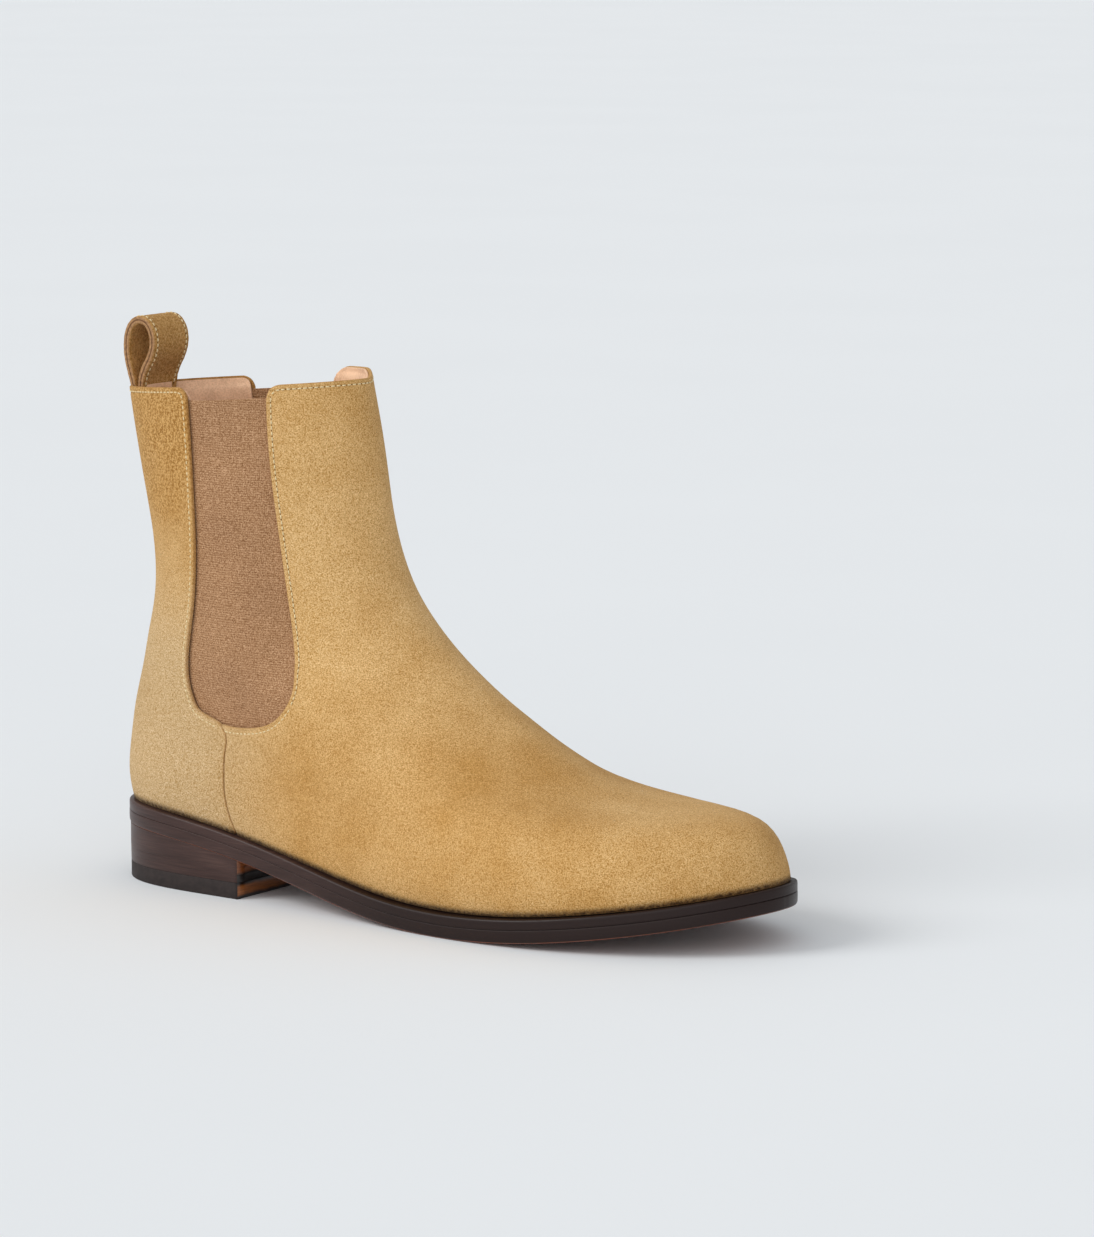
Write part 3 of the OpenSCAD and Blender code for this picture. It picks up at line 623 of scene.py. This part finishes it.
# dark disc at the end of each stitch: painted shade in the needle hole
HOLE_SHADE = plain_finish("needle_hole_shade", "866436", "62451f", 0.95, 0.5)
PIPING = leather_finish("back_seam", "5d3d37", "3c2523", 0.7, 0.6, 0.2)
CORK = plain_finish("cork", "b98d5c", "6f4d2b", 0.9, 1.6, 0.4)
BOARD = plain_finish("board", "c2a27a", "94744f", 0.85, 2, 0.15)
STIFFENER = plain_finish("stiffener", "dcd0b8", "b9a98c", 0.8, 1.2, 0.1, stored=False)
STEEL = plain_finish("steel", (0.6, 0.6, 0.62), (0.42, 0.42, 0.44), 0.35, 4, 0.03, stored=False,
                     Metallic=1.0)
BRASS = plain_finish("brass", (0.72, 0.5, 0.2), (0.5, 0.33, 0.12), 0.3, 2, 0.03, stored=False,
                     Metallic=1.0)

# ---- Bodies: with_boot hangs a piece on the boot body, the others only bake its place into its mesh ----


def with_toe(piece):
    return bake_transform(piece)


def with_shaft(piece):
    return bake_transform(piece)


def with_gore(piece):
    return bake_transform(piece)


def with_loop(piece):
    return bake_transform(piece)


def with_boot(piece):
    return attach(piece, "boot")


def finish_piece(piece, slot, move, *stands_for):
    """Passes a piece to move() and hides the CAD nodes it stands for; slot is not used."""
    move(piece)
    if stands_for:
        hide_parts(*stands_for)


def make(name, shape, material, slot, move, *stands_for):
    """Piece of one material from the points and faces that sheet() or plate() gives."""
    finish_piece(mesh(name, *shape[:2], [material]), slot, move, *stands_for)


# ---- Upper: suede panels and lining ----

SUEDE_THICK, LINING_OUT, LINING_THICK, LINING_TOP = 1.5, 3.0, 0.9, TOP - 0.03
CORNER_BACK, CORNER_OUTER, CORNER_INNER = 4.6, 6.2, 9.5  # radii at the top line
SEWN_ABOVE = 4.0  # station above which the border of a quarter is a sewn edge and no longer the seam
SUEDE_RIM = round_rim(0.6, SUEDE_THICK)
LINING_RIM = round_rim(0.35, LINING_THICK, 0.12)


def stain_of(points):
    """Burnt edge of the suede just above the welt."""
    return 1 - smooth((points[:, 2] - feather(points[:, 0]) - 0.4) / 3.2)


def suede_looks(verts, cut_edge_and_shade):
    nap, painted_light = nap_and_shade_of(verts)
    return {"stain": stain_of(verts), "cut_edge_and_shade": cut_edge_and_shade, "nap": nap, "painted_light": painted_light}


def sheet_looks(verts, size):
    """Looks of a suede sheet: size points outside, as many inside, and then the raw edge."""
    cut_edge_and_shade = np.zeros(len(verts))
    cut_edge_and_shade[size:2 * size], cut_edge_and_shade[2 * size:] = 0.5, 0.35
    return suede_looks(verts, cut_edge_and_shade)


def seam_dent(distance):
    """Dent along the side seam, where the panels are drawn together."""
    return 0.3 * np.exp(-((distance - 0.3) / 0.8) ** 2)


def back_grid(side):
    """Grid behind the gore, from the back seam to the side seam and the back edge of the gore."""
    ts = stations(FLANK, 0, TOP, 58)
    # more rows where the seam runs into the gore
    ts = np.concatenate([ts[ts < 3.6], np.linspace(3.63, 4.77, 26), ts[ts > 4.8]])
    tp, _, run = rows_across(ts, lambda t: (0.5, back_edge(t, side) - 0.1), 24)
    sides = run[:, -1:] - run
    tops = below_top(ts, sides)
    tp = round_corners(tp, sides, tops, CORNER_BACK)
    return tp * (1, side), sides, tops


def quarter(side, name, node_name):
    tp, sides, tops = back_grid(side)
    sewn = smooth((tp[..., 0] - SEWN_ABOVE) / 0.3)
    dent = np.maximum(groove(sides) * sewn, groove(tops)) + seam_dent(sides) * (1 - sewn)
    verts, faces, _ = sheet(tp, dent, SUEDE_THICK, SUEDE_RIM)
    piece = mesh(name, verts, faces, [SUEDE], attributes=sheet_looks(verts, dent.size))
    finish_piece(piece, "suede", with_boot, node_name)


# Station and angle where the side seam meets the gore, and where the border turns up the gore's front
SEAM_TOP, UNDER_END = (4.17, 66.7), (6, 106)


def border_station(phi):
    """Station of the front panels' border under the gore."""
    return np.maximum(gore_under(np.clip(phi, SEAM_TOP[1], UNDER_END[1])), SEAM_TOP[0])


def row_scale(phi):
    """Rows of the front grid run at their own station at the front, and lower beside the gore."""
    share = np.clip((phi - SEAM_TOP[1]) / (UNDER_END[1] - SEAM_TOP[1]), 0, 1)
    return border_station(phi) / mix(SEAM_TOP[0], UNDER_END[0], share)


def gore_border(q, side=1):
    """Border of the front panels: up the side seam, forward under the gore and up its front edge."""
    q = np.asarray(q, float)
    share = np.clip((q - SEAM_TOP[0]) / (UNDER_END[0] - SEAM_TOP[0]), 0, 1)
    under = mix(SEAM_TOP[1], UNDER_END[1], share)
    t = np.where(q < SEAM_TOP[0], q, np.where(q < UNDER_END[0], border_station(under), q))
    phi = np.where(q < SEAM_TOP[0], back_edge(q),
                   np.where(q < UNDER_END[0], under, gore_front(np.maximum(q, UNDER_END[0]), side)))
    return t, phi + 0.1


def front_grid():
    """Grid of all the suede in front of the gores, and its distances from the border and the top."""
    q = np.linspace(0, TOP, 900)
    t, phi = gore_border(q)
    run = run_along(form(t, phi))
    qs = np.interp(spaced(run[-1], 78), run, q)
    tops = run[-1] - np.interp(qs, q, run)
    rows, sides = [], []
    for value in qs:
        phi = np.linspace(gore_border(value)[1], 360 - gore_border(value, -1)[1], 401)
        t = value * row_scale(180 - np.abs(180 - phi))
        t = t + lift(t, phi)
        tp, side, _ = lay(np.stack([t, phi], -1), 74)
        rows.append(tp)
        sides.append(side)
    tops = tops[:, None] + np.zeros_like(sides[0])
    rows, sides = np.array(rows), np.array(sides)
    radius = np.where(rows[..., 1] > 180, CORNER_INNER, CORNER_OUTER)
    return round_corners(rows, sides, tops, radius), sides, tops, qs


FRONT, FRONT_SIDES, FRONT_TOPS, FRONT_Q = front_grid()
SPLIT = int(np.argmin(np.abs(FRONT_Q - 5.44)))  # row where the vamp hands over to the shaft


def share_normals(low, high, tp, row, depth_outer):
    """Gives two pieces that meet in a row of the grid the same normals there, so no line shows."""
    _, normals = skin(tp[row, :, 0], tp[row, :, 1], depth_outer[row])
    width = tp.shape[1]
    for piece, rows, first in ((low, row + 1, row), (high, tp.shape[0] - row, 0)):
        own = np.zeros(len(piece.data.vertices) * 3, np.float32)
        piece.data.vertices.foreach_get("normal", own)
        own = own.reshape(-1, 3)
        start, size = first * width, rows * width
        own[start:start + width] = normals
        own[size + start:size + start + width] = -normals
        piece.data.normals_split_custom_set_from_vertices(own.tolist())


def front_piece(name, tp, near, far, rim, material, flat_row):
    """Sheet over some rows of the front grid, which the next piece carries on at its flat row.

    There the rim goes straight through the sheet."""
    verts, faces, _ = sheet(tp, near, far, rim)
    idx = np.arange(near.size).reshape(near.shape)
    loop = border_of(idx)
    flat = np.isin(loop, idx[flat_row, 1:-1])
    for k, (share, _) in enumerate(rim):
        rows = 2 * idx.size + k * len(loop) + np.nonzero(flat)[0]
        verts[rows] = mix(verts[loop[flat]], verts[idx.size + loop[flat]], share)
    looks = sheet_looks(verts, idx.size) if material is SUEDE else None
    return mesh(name, verts, faces, [material], attributes=looks)


def front_suede():
    sewn = smooth((FRONT_Q - 4.15) / 0.25)[:, None]
    dent = np.maximum(groove(FRONT_SIDES) * sewn, groove(FRONT_TOPS))
    dent += seam_dent(FRONT_SIDES) * (1 - sewn)
    vamp = front_piece("vamp_suede", FRONT[:SPLIT + 1], dent[:SPLIT + 1], SUEDE_THICK, SUEDE_RIM,
                       SUEDE, -1)
    shaft = front_piece("shaft_suede", FRONT[SPLIT:], dent[SPLIT:], SUEDE_THICK, SUEDE_RIM, SUEDE, 0)
    share_normals(vamp, shaft, FRONT, SPLIT, dent)
    finish_piece(vamp, "suede", with_toe, "instep_suede", "vamp_flex", "toe_suede")
    finish_piece(shaft, "suede", with_shaft, "shaft_front")


def lining_depth(t, near_loop=None):
    """Depth of the lining: it comes out to the suede at the top line, and bulges over the pull loop."""
    depth = mix(LINING_OUT, SUEDE_THICK + 0.12, smooth((t - (TOP - 0.33)) / 0.28))
    if near_loop is None:
        return depth
    loop = smooth((20 - np.abs(near_loop)) / 5) * smooth((t - 10.1) / 0.6)
    return mix(depth, LINING_OUT + 3.4, loop)


def lining():
    # behind the gores, in one piece round the heel
    ts = stations(FLANK, 0, LINING_TOP, 40)
    tp, sides, _ = rows_across(ts, lambda t: (0.6 - back_edge(t, -1), back_edge(t) - 0.6), 44)
    tops = below_top(ts, sides)
    tp = round_corners(tp, sides, tops, CORNER_BACK)
    near = lining_depth(tp[..., 0], tp[..., 1])
    dent = np.maximum(groove(sides) * smooth((tp[..., 0] - 4.2) / 0.3), groove(tops))
    make("lining_heel", sheet(tp, near, near + LINING_THICK - dent, LINING_RIM), LINING_PAINTED_LIGHT, "lining",
         with_boot, "lining_back")
    # in front of the gores, on the same grid as the suede
    lined = FRONT.copy()
    raised = lift(lined[..., 0], lined[..., 1])
    lined[..., 0] = np.minimum(lined[..., 0], LINING_TOP + raised)
    near = lining_depth(lined[..., 0] - raised)
    vamp = front_piece("lining_vamp", lined[:SPLIT + 1], near[:SPLIT + 1], LINING_OUT + LINING_THICK,
                       LINING_RIM, LINING_PAINTED_LIGHT, -1)
    finish_piece(vamp, "lining", with_toe, "lining_instep", "lining_flex", "lining_toe")
    near = near[SPLIT:]
    dent = np.maximum(groove(FRONT_SIDES[SPLIT:]), groove(FRONT_TOPS[SPLIT:]))
    make("lining_front", sheet(lined[SPLIT:], near, near + LINING_THICK - dent, LINING_RIM), LINING_PAINTED_LIGHT,
         "lining", with_shaft, "lining_shaft")


# ---- Gores ----

GORE_OUT, GORE_THICK, GORE_TOP = 2.2, 0.7, TOP - 0.3
GORE_TUCK = 4.2  # how far a gore reaches under the suede on either side, in degrees


def gore(side, name, node_name):
    ts = stations(80, 3.92, GORE_TOP, 60)

    def ends(t):
        return back_line(t, side) - GORE_TUCK, gore_front(max(t, FRONT_START), side) + GORE_TUCK

    tp = rows_across(ts, ends, 22, 0.3)[0] * (1, side)
    across = np.linspace(0, 1, tp.shape[1])[None, :]
    bow = -0.55 * np.sin(np.pi * across) ** 2 * smooth((tp[..., 0] - 5) / 2)
    make(name, sheet(tp, GORE_OUT + bow, GORE_OUT + GORE_THICK + bow, round_rim(0.3, GORE_THICK, 0.2)),
         ELASTIC, "elastic", with_gore, node_name)


# ---- Stitches ----

PITCH, THREAD_R, HOLE_SHADE_R = 2.15, 0.25, 0.34
# Rings of a stitch (share of its length, height, size) and of the dark disc at its end, the painted
# shade of the needle hole
STITCH = [(0.14, -0.3, 0.7), (0.22, 0.06, 1), (0.5, 0.2, 1.12), (0.78, 0.06, 1), (0.86, -0.3, 0.7)]
NEEDLE_HOLE_SHADE = [(-0.3, 1), (0.02, 1), (0.05, 0.7)]


def sew(p, n):
    """Stitches along a line of points with outward normals, each with a dark disc at its end, the
    painted shade of its needle hole.
    """
    run = run_along(p)
    count = max(1, int(round(run[-1] / PITCH)))
    step = run[-1] / count
    verts, faces, index = [], [], []

    def at(values, distance):
        return np.array([np.interp(distance, run, values[:, k]) for k in range(3)])

    def add(rings, material):
        v, f = loft(np.array(rings), first=len(verts))
        verts.extend(v)
        faces.extend(f)
        index.extend([material] * len(f))

    thin = np.linspace(0, 2 * np.pi, 6, endpoint=False)[:, None]
    wide = np.linspace(0, 2 * np.pi, 8, endpoint=False)[:, None]
    for k in range(count):
        start, end = at(p, k * step), at(p, (k + 1) * step)
        up, ahead = unit(at(n, (k + 0.5) * step)), unit(end - start)
        aside = np.cross(up, ahead)
        add([mix(start, end, share) + height * up
             + THREAD_R * r * (np.cos(thin) * aside + np.sin(thin) * up)
             for share, height, r in STITCH], 0)
        add([end + height * up + HOLE_SHADE_R * r * (0.8 * np.cos(wide) * aside + np.sin(wide) * ahead)
             for height, r in NEEDLE_HOLE_SHADE], 1)
    return verts, faces, index


def stitches(name, lines, move, *stands_for):
    """Rows of stitches along some lines, as one piece."""
    verts, faces, index = [], [], []
    for p, n in lines:
        v, f, i = sew(p, n)
        faces += [[c + len(verts) for c in face] for face in f]
        verts += v
        index += i
    finish_piece(mesh(name, verts, faces, [THREAD, HOLE_SHADE], index), "thread", move, *stands_for)


def on_skin(tp):
    """Points a little below the suede's face, where the stitches pull in, and the normals there."""
    return skin(tp[:, 0], tp[:, 1], 0.2)


def beside(t, phi, distance):
    """Line on the form at a distance to the side of another; a positive one is towards the back."""
    p = form(t, phi)
    per_station = (form(t + 0.02, phi) - form(t - 0.02, phi)) / 0.04
    per_degree = (form(t, phi + 0.2) - form(t, phi - 0.2)) / 0.4
    aside = unit(np.cross(unit(np.cross(per_degree, per_station)), unit(np.gradient(p, axis=0))))
    jacobian = np.stack([per_station, per_degree], -1)
    step = np.einsum("nij,nj->ni", np.linalg.pinv(jacobian), distance * aside)
    return np.stack([t + step[:, 0], phi + step[:, 1]], -1)


def stitching():
    back, lower, upper = [], [], []
    t = np.linspace(SEAM_TOP[0] + 0.05, TOP - 0.45, 400)
    in_row = -1 - LINE
    for side in (1, -1):
        # up the back edge of the gore, round the corner and along the top to the back seam
        line = beside(t, back_edge(t, side), STITCH_INSET) * (1, side)
        tp, _, _ = back_grid(side)
        corner = tp[tp[:, in_row, 0] > line[-1, 0] + 0.02, in_row][:in_row]
        back.append(on_skin(np.concatenate([line, corner, tp[in_row, 6:-4 - LINE][::-1]])))
        # under the gore and up its front edge as far as the shaft
        q = np.linspace(SEAM_TOP[0] + 0.02, FRONT_Q[SPLIT], 300)
        line = beside(*gore_border(q, side), -STITCH_INSET)
        lower.append(on_skin(line if side > 0 else line * (1, -1) + (0, 360)))
    for column in (LINE, in_row):
        upper.append(on_skin(FRONT[SPLIT:-6, column][:-1]))
    upper.append(on_skin(np.concatenate([FRONT[-7:-6, LINE], FRONT[in_row, 6:-6],
                                         FRONT[-7:-6, in_row]])))
    stitches("stitches_quarters", back, with_boot, "stitching_back")
    stitches("stitches_instep", lower, with_boot, "stitching_instep")
    stitches("stitches_shaft", upper, with_shaft, "stitching_shaft")


# ---- Back seam ----

def back_seam():
    """Dark edge that stands up between the two quarters, from the heel to near the top line."""
    t = np.linspace(2.2, TOP - 1.2, 120)
    _, n = skin(t, 0, 0.0)
    p, _ = skin(t, 0, 0.25)
    aside = np.array([0, 1, 0])
    profile = [(-0.75, -0.5), (-0.62, 0.1), (-0.42, 0.5), (-0.12, 0.62), (-0.04, 0.5), (0.04, 0.5),
               (0.12, 0.62), (0.42, 0.5), (0.62, 0.1), (0.75, -0.5)]
    height = smooth((t - t[0]) / 0.3) * smooth((t[-1] - t) / 0.3)
    rings = np.array([[c + w * aside + mix(-0.5, h, s) * up for w, h in profile]
                      for c, up, s in zip(p, n, height)])
    make("back_seam", loft(rings), PIPING, "piping", with_boot, "back_piping")


# ---- Pull loop ----

STRAP_HALF, STRAP_INSET = 11, 1.9
STRAP_PATH = [  # x, z and thickness, from the sewn rear end over the top to the sewn front end
    (-31.9, 183, 1.2), (-32.2, 188, 1.8), (-32.8, 193, 2.7), (-33.9, 198, 3), (-34.9, 204, 3),
    (-35.2, 210, 3), (-34.4, 215.2, 3), (-31.9, 218.9, 3), (-28.6, 220.1, 3), (-25.2, 218.9, 3),
    (-22.9, 215.4, 3), (-22.3, 210.8, 3), (-23.6, 206, 3), (-26.4, 201.8, 3),
    (-28.7, 197.6, 3), (-29.6, 193, 2.7), (-30, 188, 1.8), (-30.2, 183, 1.2)]


def strap_frame(count):
    """Middle line of the strap, its outward direction and its thickness."""
    path = along(fair(STRAP_PATH), np.linspace(0, len(STRAP_PATH) - 1, count))
    p = np.stack([path[:, 0], np.zeros(count), path[:, 1]], -1)
    ahead = unit(np.gradient(p, axis=0))
    out = np.stack([-ahead[:, 2], np.zeros(count), ahead[:, 0]], -1)
    return p, out, path[:, 2]


def strap_bow(p, y):
    """The strap follows the round back of the shaft at its foot, and is nearly flat at its top."""
    return (y / STRAP_HALF) ** 2 * mix(1.5, 0.3, smooth((p[..., 2] - 193) / 15))


def pull_loop():
    p, out, thick = strap_frame(110)
    half = STRAP_HALF
    flat = np.linspace(-half + 0.5, half - 0.5, 11)
    edge = [(half - 0.12, 0.42), (half + 0.02, 0.28), (half, 0.1), (half - 0.14, 0), (half, -0.1),
            (half + 0.02, -0.28), (half - 0.12, -0.42)]  # two layers, with a furrow between them
    profile = ([(y, 0.5) for y in flat] + edge + [(y, -0.5) for y in flat[::-1]]
               + [(-y, h) for y, h in edge[::-1]])
    y, h = np.array(profile).T
    rings = p[:, None] + (h[None, :, None] * thick[:, None, None]) * out[:, None]
    rings[..., 1] = y
    rings[..., 0] += strap_bow(rings, y[None, :])
    fuzz = 0.1 * np.sin(rings[..., 2] * 1.9 + y * 1.3) * np.cos(y * 0.9 + rings[..., 0] * 1.1)
    rings += fuzz[..., None] * np.sign(h)[None, :, None] * out[:, None] * 0.6
    verts, faces = loft(rings)
    around_strap = np.zeros(len(profile), int)
    for first in (len(flat), 2 * len(flat) + len(edge)):
        around_strap[first:first + len(edge) - 1] = 1
        around_strap[first + 2:first + 4] = 2
    index = [int(around_strap[k % len(profile)]) for k in range(len(faces) - 2)] + [0, 0]
    # the whole strap takes a little of the browner raw-edge colour: painted shade of the loop
    piece = mesh("pull_strap", verts, faces, [SUEDE, STRAP_EDGE, GLUE_LINE], index,
                 suede_looks(verts, np.full(len(verts), 0.15)))
    finish_piece(piece, "suede", with_loop, "pull_loop", "loop_tab")
    lines = []
    keep = slice(14, -14)  # the sewn ends have no stitches of their own
    for y in (STRAP_INSET - half, half - STRAP_INSET):
        line = p + 0.5 * thick[:, None] * out
        line[:, 1] = y
        line[:, 0] += strap_bow(line, y)
        lines.append((line[keep], out[keep]))
    stitches("stitches_loop", lines, with_loop)


# ---- Sole ----

BREAST_X = 38  # front of the heel
TIP = 1.5  # angle left out at the ends of a plate's outline


def rim_line(back, front, widths, phi, inset):
    """Outline seen from above, at an angle and a distance inside it."""
    phi = np.asarray(phi, float)
    f = (1 - np.cos(np.radians(phi))) / 2
    return np.stack([mix(back + inset, front - inset, f),
                     -(around(widths, phi) - inset) * np.sin(np.radians(phi))], -1)


def sole_rim(phi, inset=0.0):
    return rim_line(SOLE_BACK, SOLE_FRONT, SOLE_CURVE, phi, inset)


def upper_rim(phi, inset):
    return rim_line(LAST[0][0], LAST[0][2], FEATHER_CURVE, phi, inset)


def even_angles(line, count, low, high, inset):
    """Angles that space points evenly along an outline."""
    phi = np.linspace(low, high, 2000)
    run = run_along(line(phi, inset))
    return np.interp(np.linspace(0, run[-1], count), run, phi)


def angle_at(x, line, inset):
    phi = np.linspace(0, 180, 3000)
    return float(np.interp(x, line(phi, inset)[:, 0], phi))


def plate(line, low, high, inset, under, over, rim, count):
    """Plate inside an outline between two angles, from the height under(x) to the height over(x).

    Its parts are 0 on top, 1 below and from 2 up in rings round the rim."""
    phi = even_angles(line, count, low, high, inset)
    outer_side, inner_side = line(phi, inset), line(-phi, inset)
    xy = mix(outer_side[:, None], inner_side[:, None], np.linspace(0, 1, 14)[None, :, None])
    x = xy[..., 0]
    top = np.concatenate([xy, over(x)[..., None]], -1)
    low_side = np.concatenate([xy, under(x)[..., None]], -1)
    verts, faces, where = solid(top, low_side, rim)
    edge = np.nonzero(where == 2)[0]
    where[edge] = 2 + np.arange(len(edge)) // (len(edge) // (len(rim) + 1))
    return verts, faces, where


def level(z):
    return lambda x: np.full_like(x, z)


def above(line, distance):
    """Heights at a distance above a line of the sole."""
    return lambda x: line(x) + distance


def outsole():
    rim = [(0.004, 0.56), (0.03, 0.64), (0.14, 0.66), (0.45, 0.68), (0.74, 0.62), (0.86, 0.5),
           (0.93, 0.32), (0.98, 0.12)]
    verts, faces, where = plate(sole_rim, TIP, 180 - TIP, 0.6, arch, above(arch, OUTSOLE), rim, 170)
    below = (where == 1) | (where > len(rim))
    index = np.where(below, 1, 0)
    piece = mesh("outsole", verts, faces, [EDGE, BOTTOM], index)
    finish_piece(piece, "sole_leather", with_toe, "outsole_rear", "outsole_fore")


def welt():
    """Strip round the edge of the foot, with a bead at the heel and wheel marks at the forepart."""
    bead_edge, wheeled = (3, 4, 5), (6, 7, 8)  # points of the profile
    count = 1000
    phi = even_angles(sole_rim, count, 0, 360 - 360 / count, 0)
    profile = [(0.06, 0), (0, 0.1), (0, 0.8), (0, 2.5), (0.02, 3.0), (0.12, 3.45), (0.45, 3.85),
               (1.1, 4), (2.4, 4.02), (5, 4), (WELT_WIDTH, 4), (WELT_WIDTH, 0)]
    x0 = sole_rim(phi)[:, 0]
    bead = 0.05 * smooth((60 - x0) / 30)
    marks = 0.07 * smooth((x0 - 90) / 40) * np.where(np.arange(count) % 2, 1, -1)
    columns = []
    for k, (inset, z) in enumerate(profile):
        xy = sole_rim(phi, inset)
        if k in bead_edge:
            xy = xy + bead[:, None] * unit(sole_rim(phi, inset - 1) - xy)
        height = arch(xy[:, 0]) + OUTSOLE + GLUE + z + (marks if k in wheeled else 0)
        columns.append(np.concatenate([xy, height[:, None]], -1))
    make("welt", loft(np.stack(columns, 1), closed=True), EDGE, "sole_leather", with_toe, "welt_rear",
         "welt_fore")


def heel():
    layers = [  # piece, CAD node, lower and upper level (None: the outsole), inset, material, slot
        ("heel_top_piece", "rubber_top_piece", 0, 6.5, 0.55, RUBBER, "rubber"),
        ("heel_lift_low", "heel_lift_lower", 6.53, 9.44, 0.5, EDGE, "sole_leather"),
        ("heel_lift_high", "heel_lift_upper", 9.46, 12.34, 0.44, EDGE, "sole_leather"),
        ("heel_base", "heel_wedge", 12.36, None, 0.38, EDGE, "sole_leather")]
    for name, stands_for, low, high, inset, material, slot in layers:
        over = above(arch, -0.04) if high is None else level(high)
        reach = 0.25 if low == 0 else 0.04
        rim = [(0.02, 0.7 * reach), (0.05, reach), (0.95, reach), (0.98, 0.7 * reach)]
        last = angle_at(BREAST_X - reach, sole_rim, inset + reach)
        verts, faces, where = plate(sole_rim, TIP, last, inset + reach, level(low), over, rim, 60)
        centre = verts[faces].mean(axis=1)
        front = (where >= 2) & (centre[:, 0] > BREAST_X - 0.45)
        piece = mesh(name, verts, faces, [material, BREAST], np.where(front, 1, 0))
        finish_piece(piece, slot, with_boot, stands_for)


# ---- Inside the boot ----

PAD, PAD_FRONT = 1.4, 51  # heel pad: thickness and front end
PUFF_OUT, PUFF_THICK = 1.85, 0.8


def inside():
    board = [(0.08, 0.2), (0.2, 0.3), (0.8, 0.3), (0.92, 0.2)]
    soft = [(0.1, 0.15), (0.3, 0.28), (0.7, 0.28), (0.9, 0.15)]
    domed = [(0.03, 0.5), (0.15, 1), (0.4, 1.35), (0.8, 1.4), (0.97, 1.3)]
    insole, sock, pad = GLUE, 2 * GLUE + INSOLE, 3 * GLUE + INSOLE + SOCK
    shape = plate(upper_rim, 3, 177, 6.0, above(feather, insole), above(feather, insole + INSOLE),
                  board, 110)
    make("insole_board", shape, BOARD, "board", with_toe, "insole_rear", "insole_fore")
    shape = plate(upper_rim, 3, 177, 6.6, above(feather, sock), above(feather, sock + SOCK), soft, 110)
    make("sock_lining", shape, LINING_PAINTED_LIGHT, "lining", with_toe, "sock_rear", "sock_fore")
    shape = plate(upper_rim, 4, angle_at(PAD_FRONT, upper_rim, 8), 8, above(feather, pad),
                  above(feather, pad + PAD), domed, 50)
    make("heel_cushion", shape, LINING_PAINTED_LIGHT, "lining", with_boot, "heel_pad")
    shape = plate(sole_rim, 4, 176, 11.6, above(arch, OUTSOLE + 0.15),
                  lambda x: feather(x) - mix(1.9, 0.12, smooth((x - 115) / 6)), board, 110)
    make("cork_filling", shape, CORK, "cork", with_toe, "cork_rear", "cork_middle", "cork_fore")
    # stiffener of the toe, between the suede and the lining
    tp = np.stack(np.meshgrid(np.linspace(0.1, 2.8, 16), np.linspace(140, 220, 44), indexing="ij"), -1)
    shape = sheet(tp, PUFF_OUT, PUFF_OUT + PUFF_THICK, round_rim(0.3, PUFF_THICK, 0.2))
    make("toe_stiffener", shape, BOARD, "stiffener", with_toe, "toe_puff")


quarter(1, "quarter_outer_suede", "quarter_outer")
quarter(-1, "quarter_inner_suede", "quarter_inner")
front_suede()
lining()
gore(1, "gore_outer_elastic", "gore_outer")
gore(-1, "gore_inner_elastic", "gore_inner")
stitching()
back_seam()
pull_loop()
outsole()
welt()
heel()
inside()
for name, material in (("heel_counter", STIFFENER), ("shank", STEEL), ("heel_nails", STEEL),
                       ("top_piece_pins", BRASS)):
    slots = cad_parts[name].data.materials
    slots.clear()
    slots.append(material)

# ---- Floor, light and camera ----

CAMERA_AT, AIM = Vector((1.3147, -1.7133, 0.4198)), Vector((0.0966, 0.0903, 0.0995))


def stage():
    m = Finish("floor_paper", False, Roughness=0.9, Specular_IOR_Level=0.1)
    grain = m.noise(300, 2)
    m.set("Base Color", m.ramp(grain, [(0.3, (0.815, 0.84, 0.862)), (0.7, (0.825, 0.85, 0.872))]))
    half = 30 / MM
    corners = [(-half, -half, 0), (half, -half, 0), (half, half, 0), (-half, half, 0)]
    floor = mesh("floor", corners, [(0, 1, 2, 3)], [m.material])


def soft_light(name, azimuth, elevation, spread, strength, colour=(1, 1, 1)):
    """Wide light that reaches everything alike; the angles say where it comes from, in degrees."""
    data = bpy.data.lights.new(name, "SUN")
    data.energy, data.angle, data.color = strength, np.radians(spread), colour
    lamp = placed(name, data)
    a, e = np.radians(azimuth), np.radians(elevation)
    towards = Vector((np.cos(a) * np.cos(e), np.sin(a) * np.cos(e), np.sin(e)))
    lamp.rotation_euler = towards.to_track_quat("Z", "Y").to_euler()


def light_and_camera():
    world = bpy.data.worlds.new("studio")
    bpy.context.scene.world = world
    world.use_nodes = True
    background = world.node_tree.nodes["Background"]
    background.inputs["Color"].default_value = (0.97, 0.985, 1, 1)
    background.inputs["Strength"].default_value = 0.62
    soft_light("key", -131, 36, 32, 1.35, (1, 0.99, 0.97))
    soft_light("fill", -70, 18, 70, 0.9)
    bpy.context.scene.view_settings.view_transform = "Standard"
    data = bpy.data.cameras.new("camera")
    data.lens, data.sensor_width, data.clip_end = 160.7, 36, 100
    camera = placed("camera", data)
    camera.location = CAMERA_AT
    camera.rotation_euler = (AIM - CAMERA_AT).to_track_quat("-Z", "Y").to_euler()
    bpy.context.scene.camera = camera


stage()
light_and_camera()
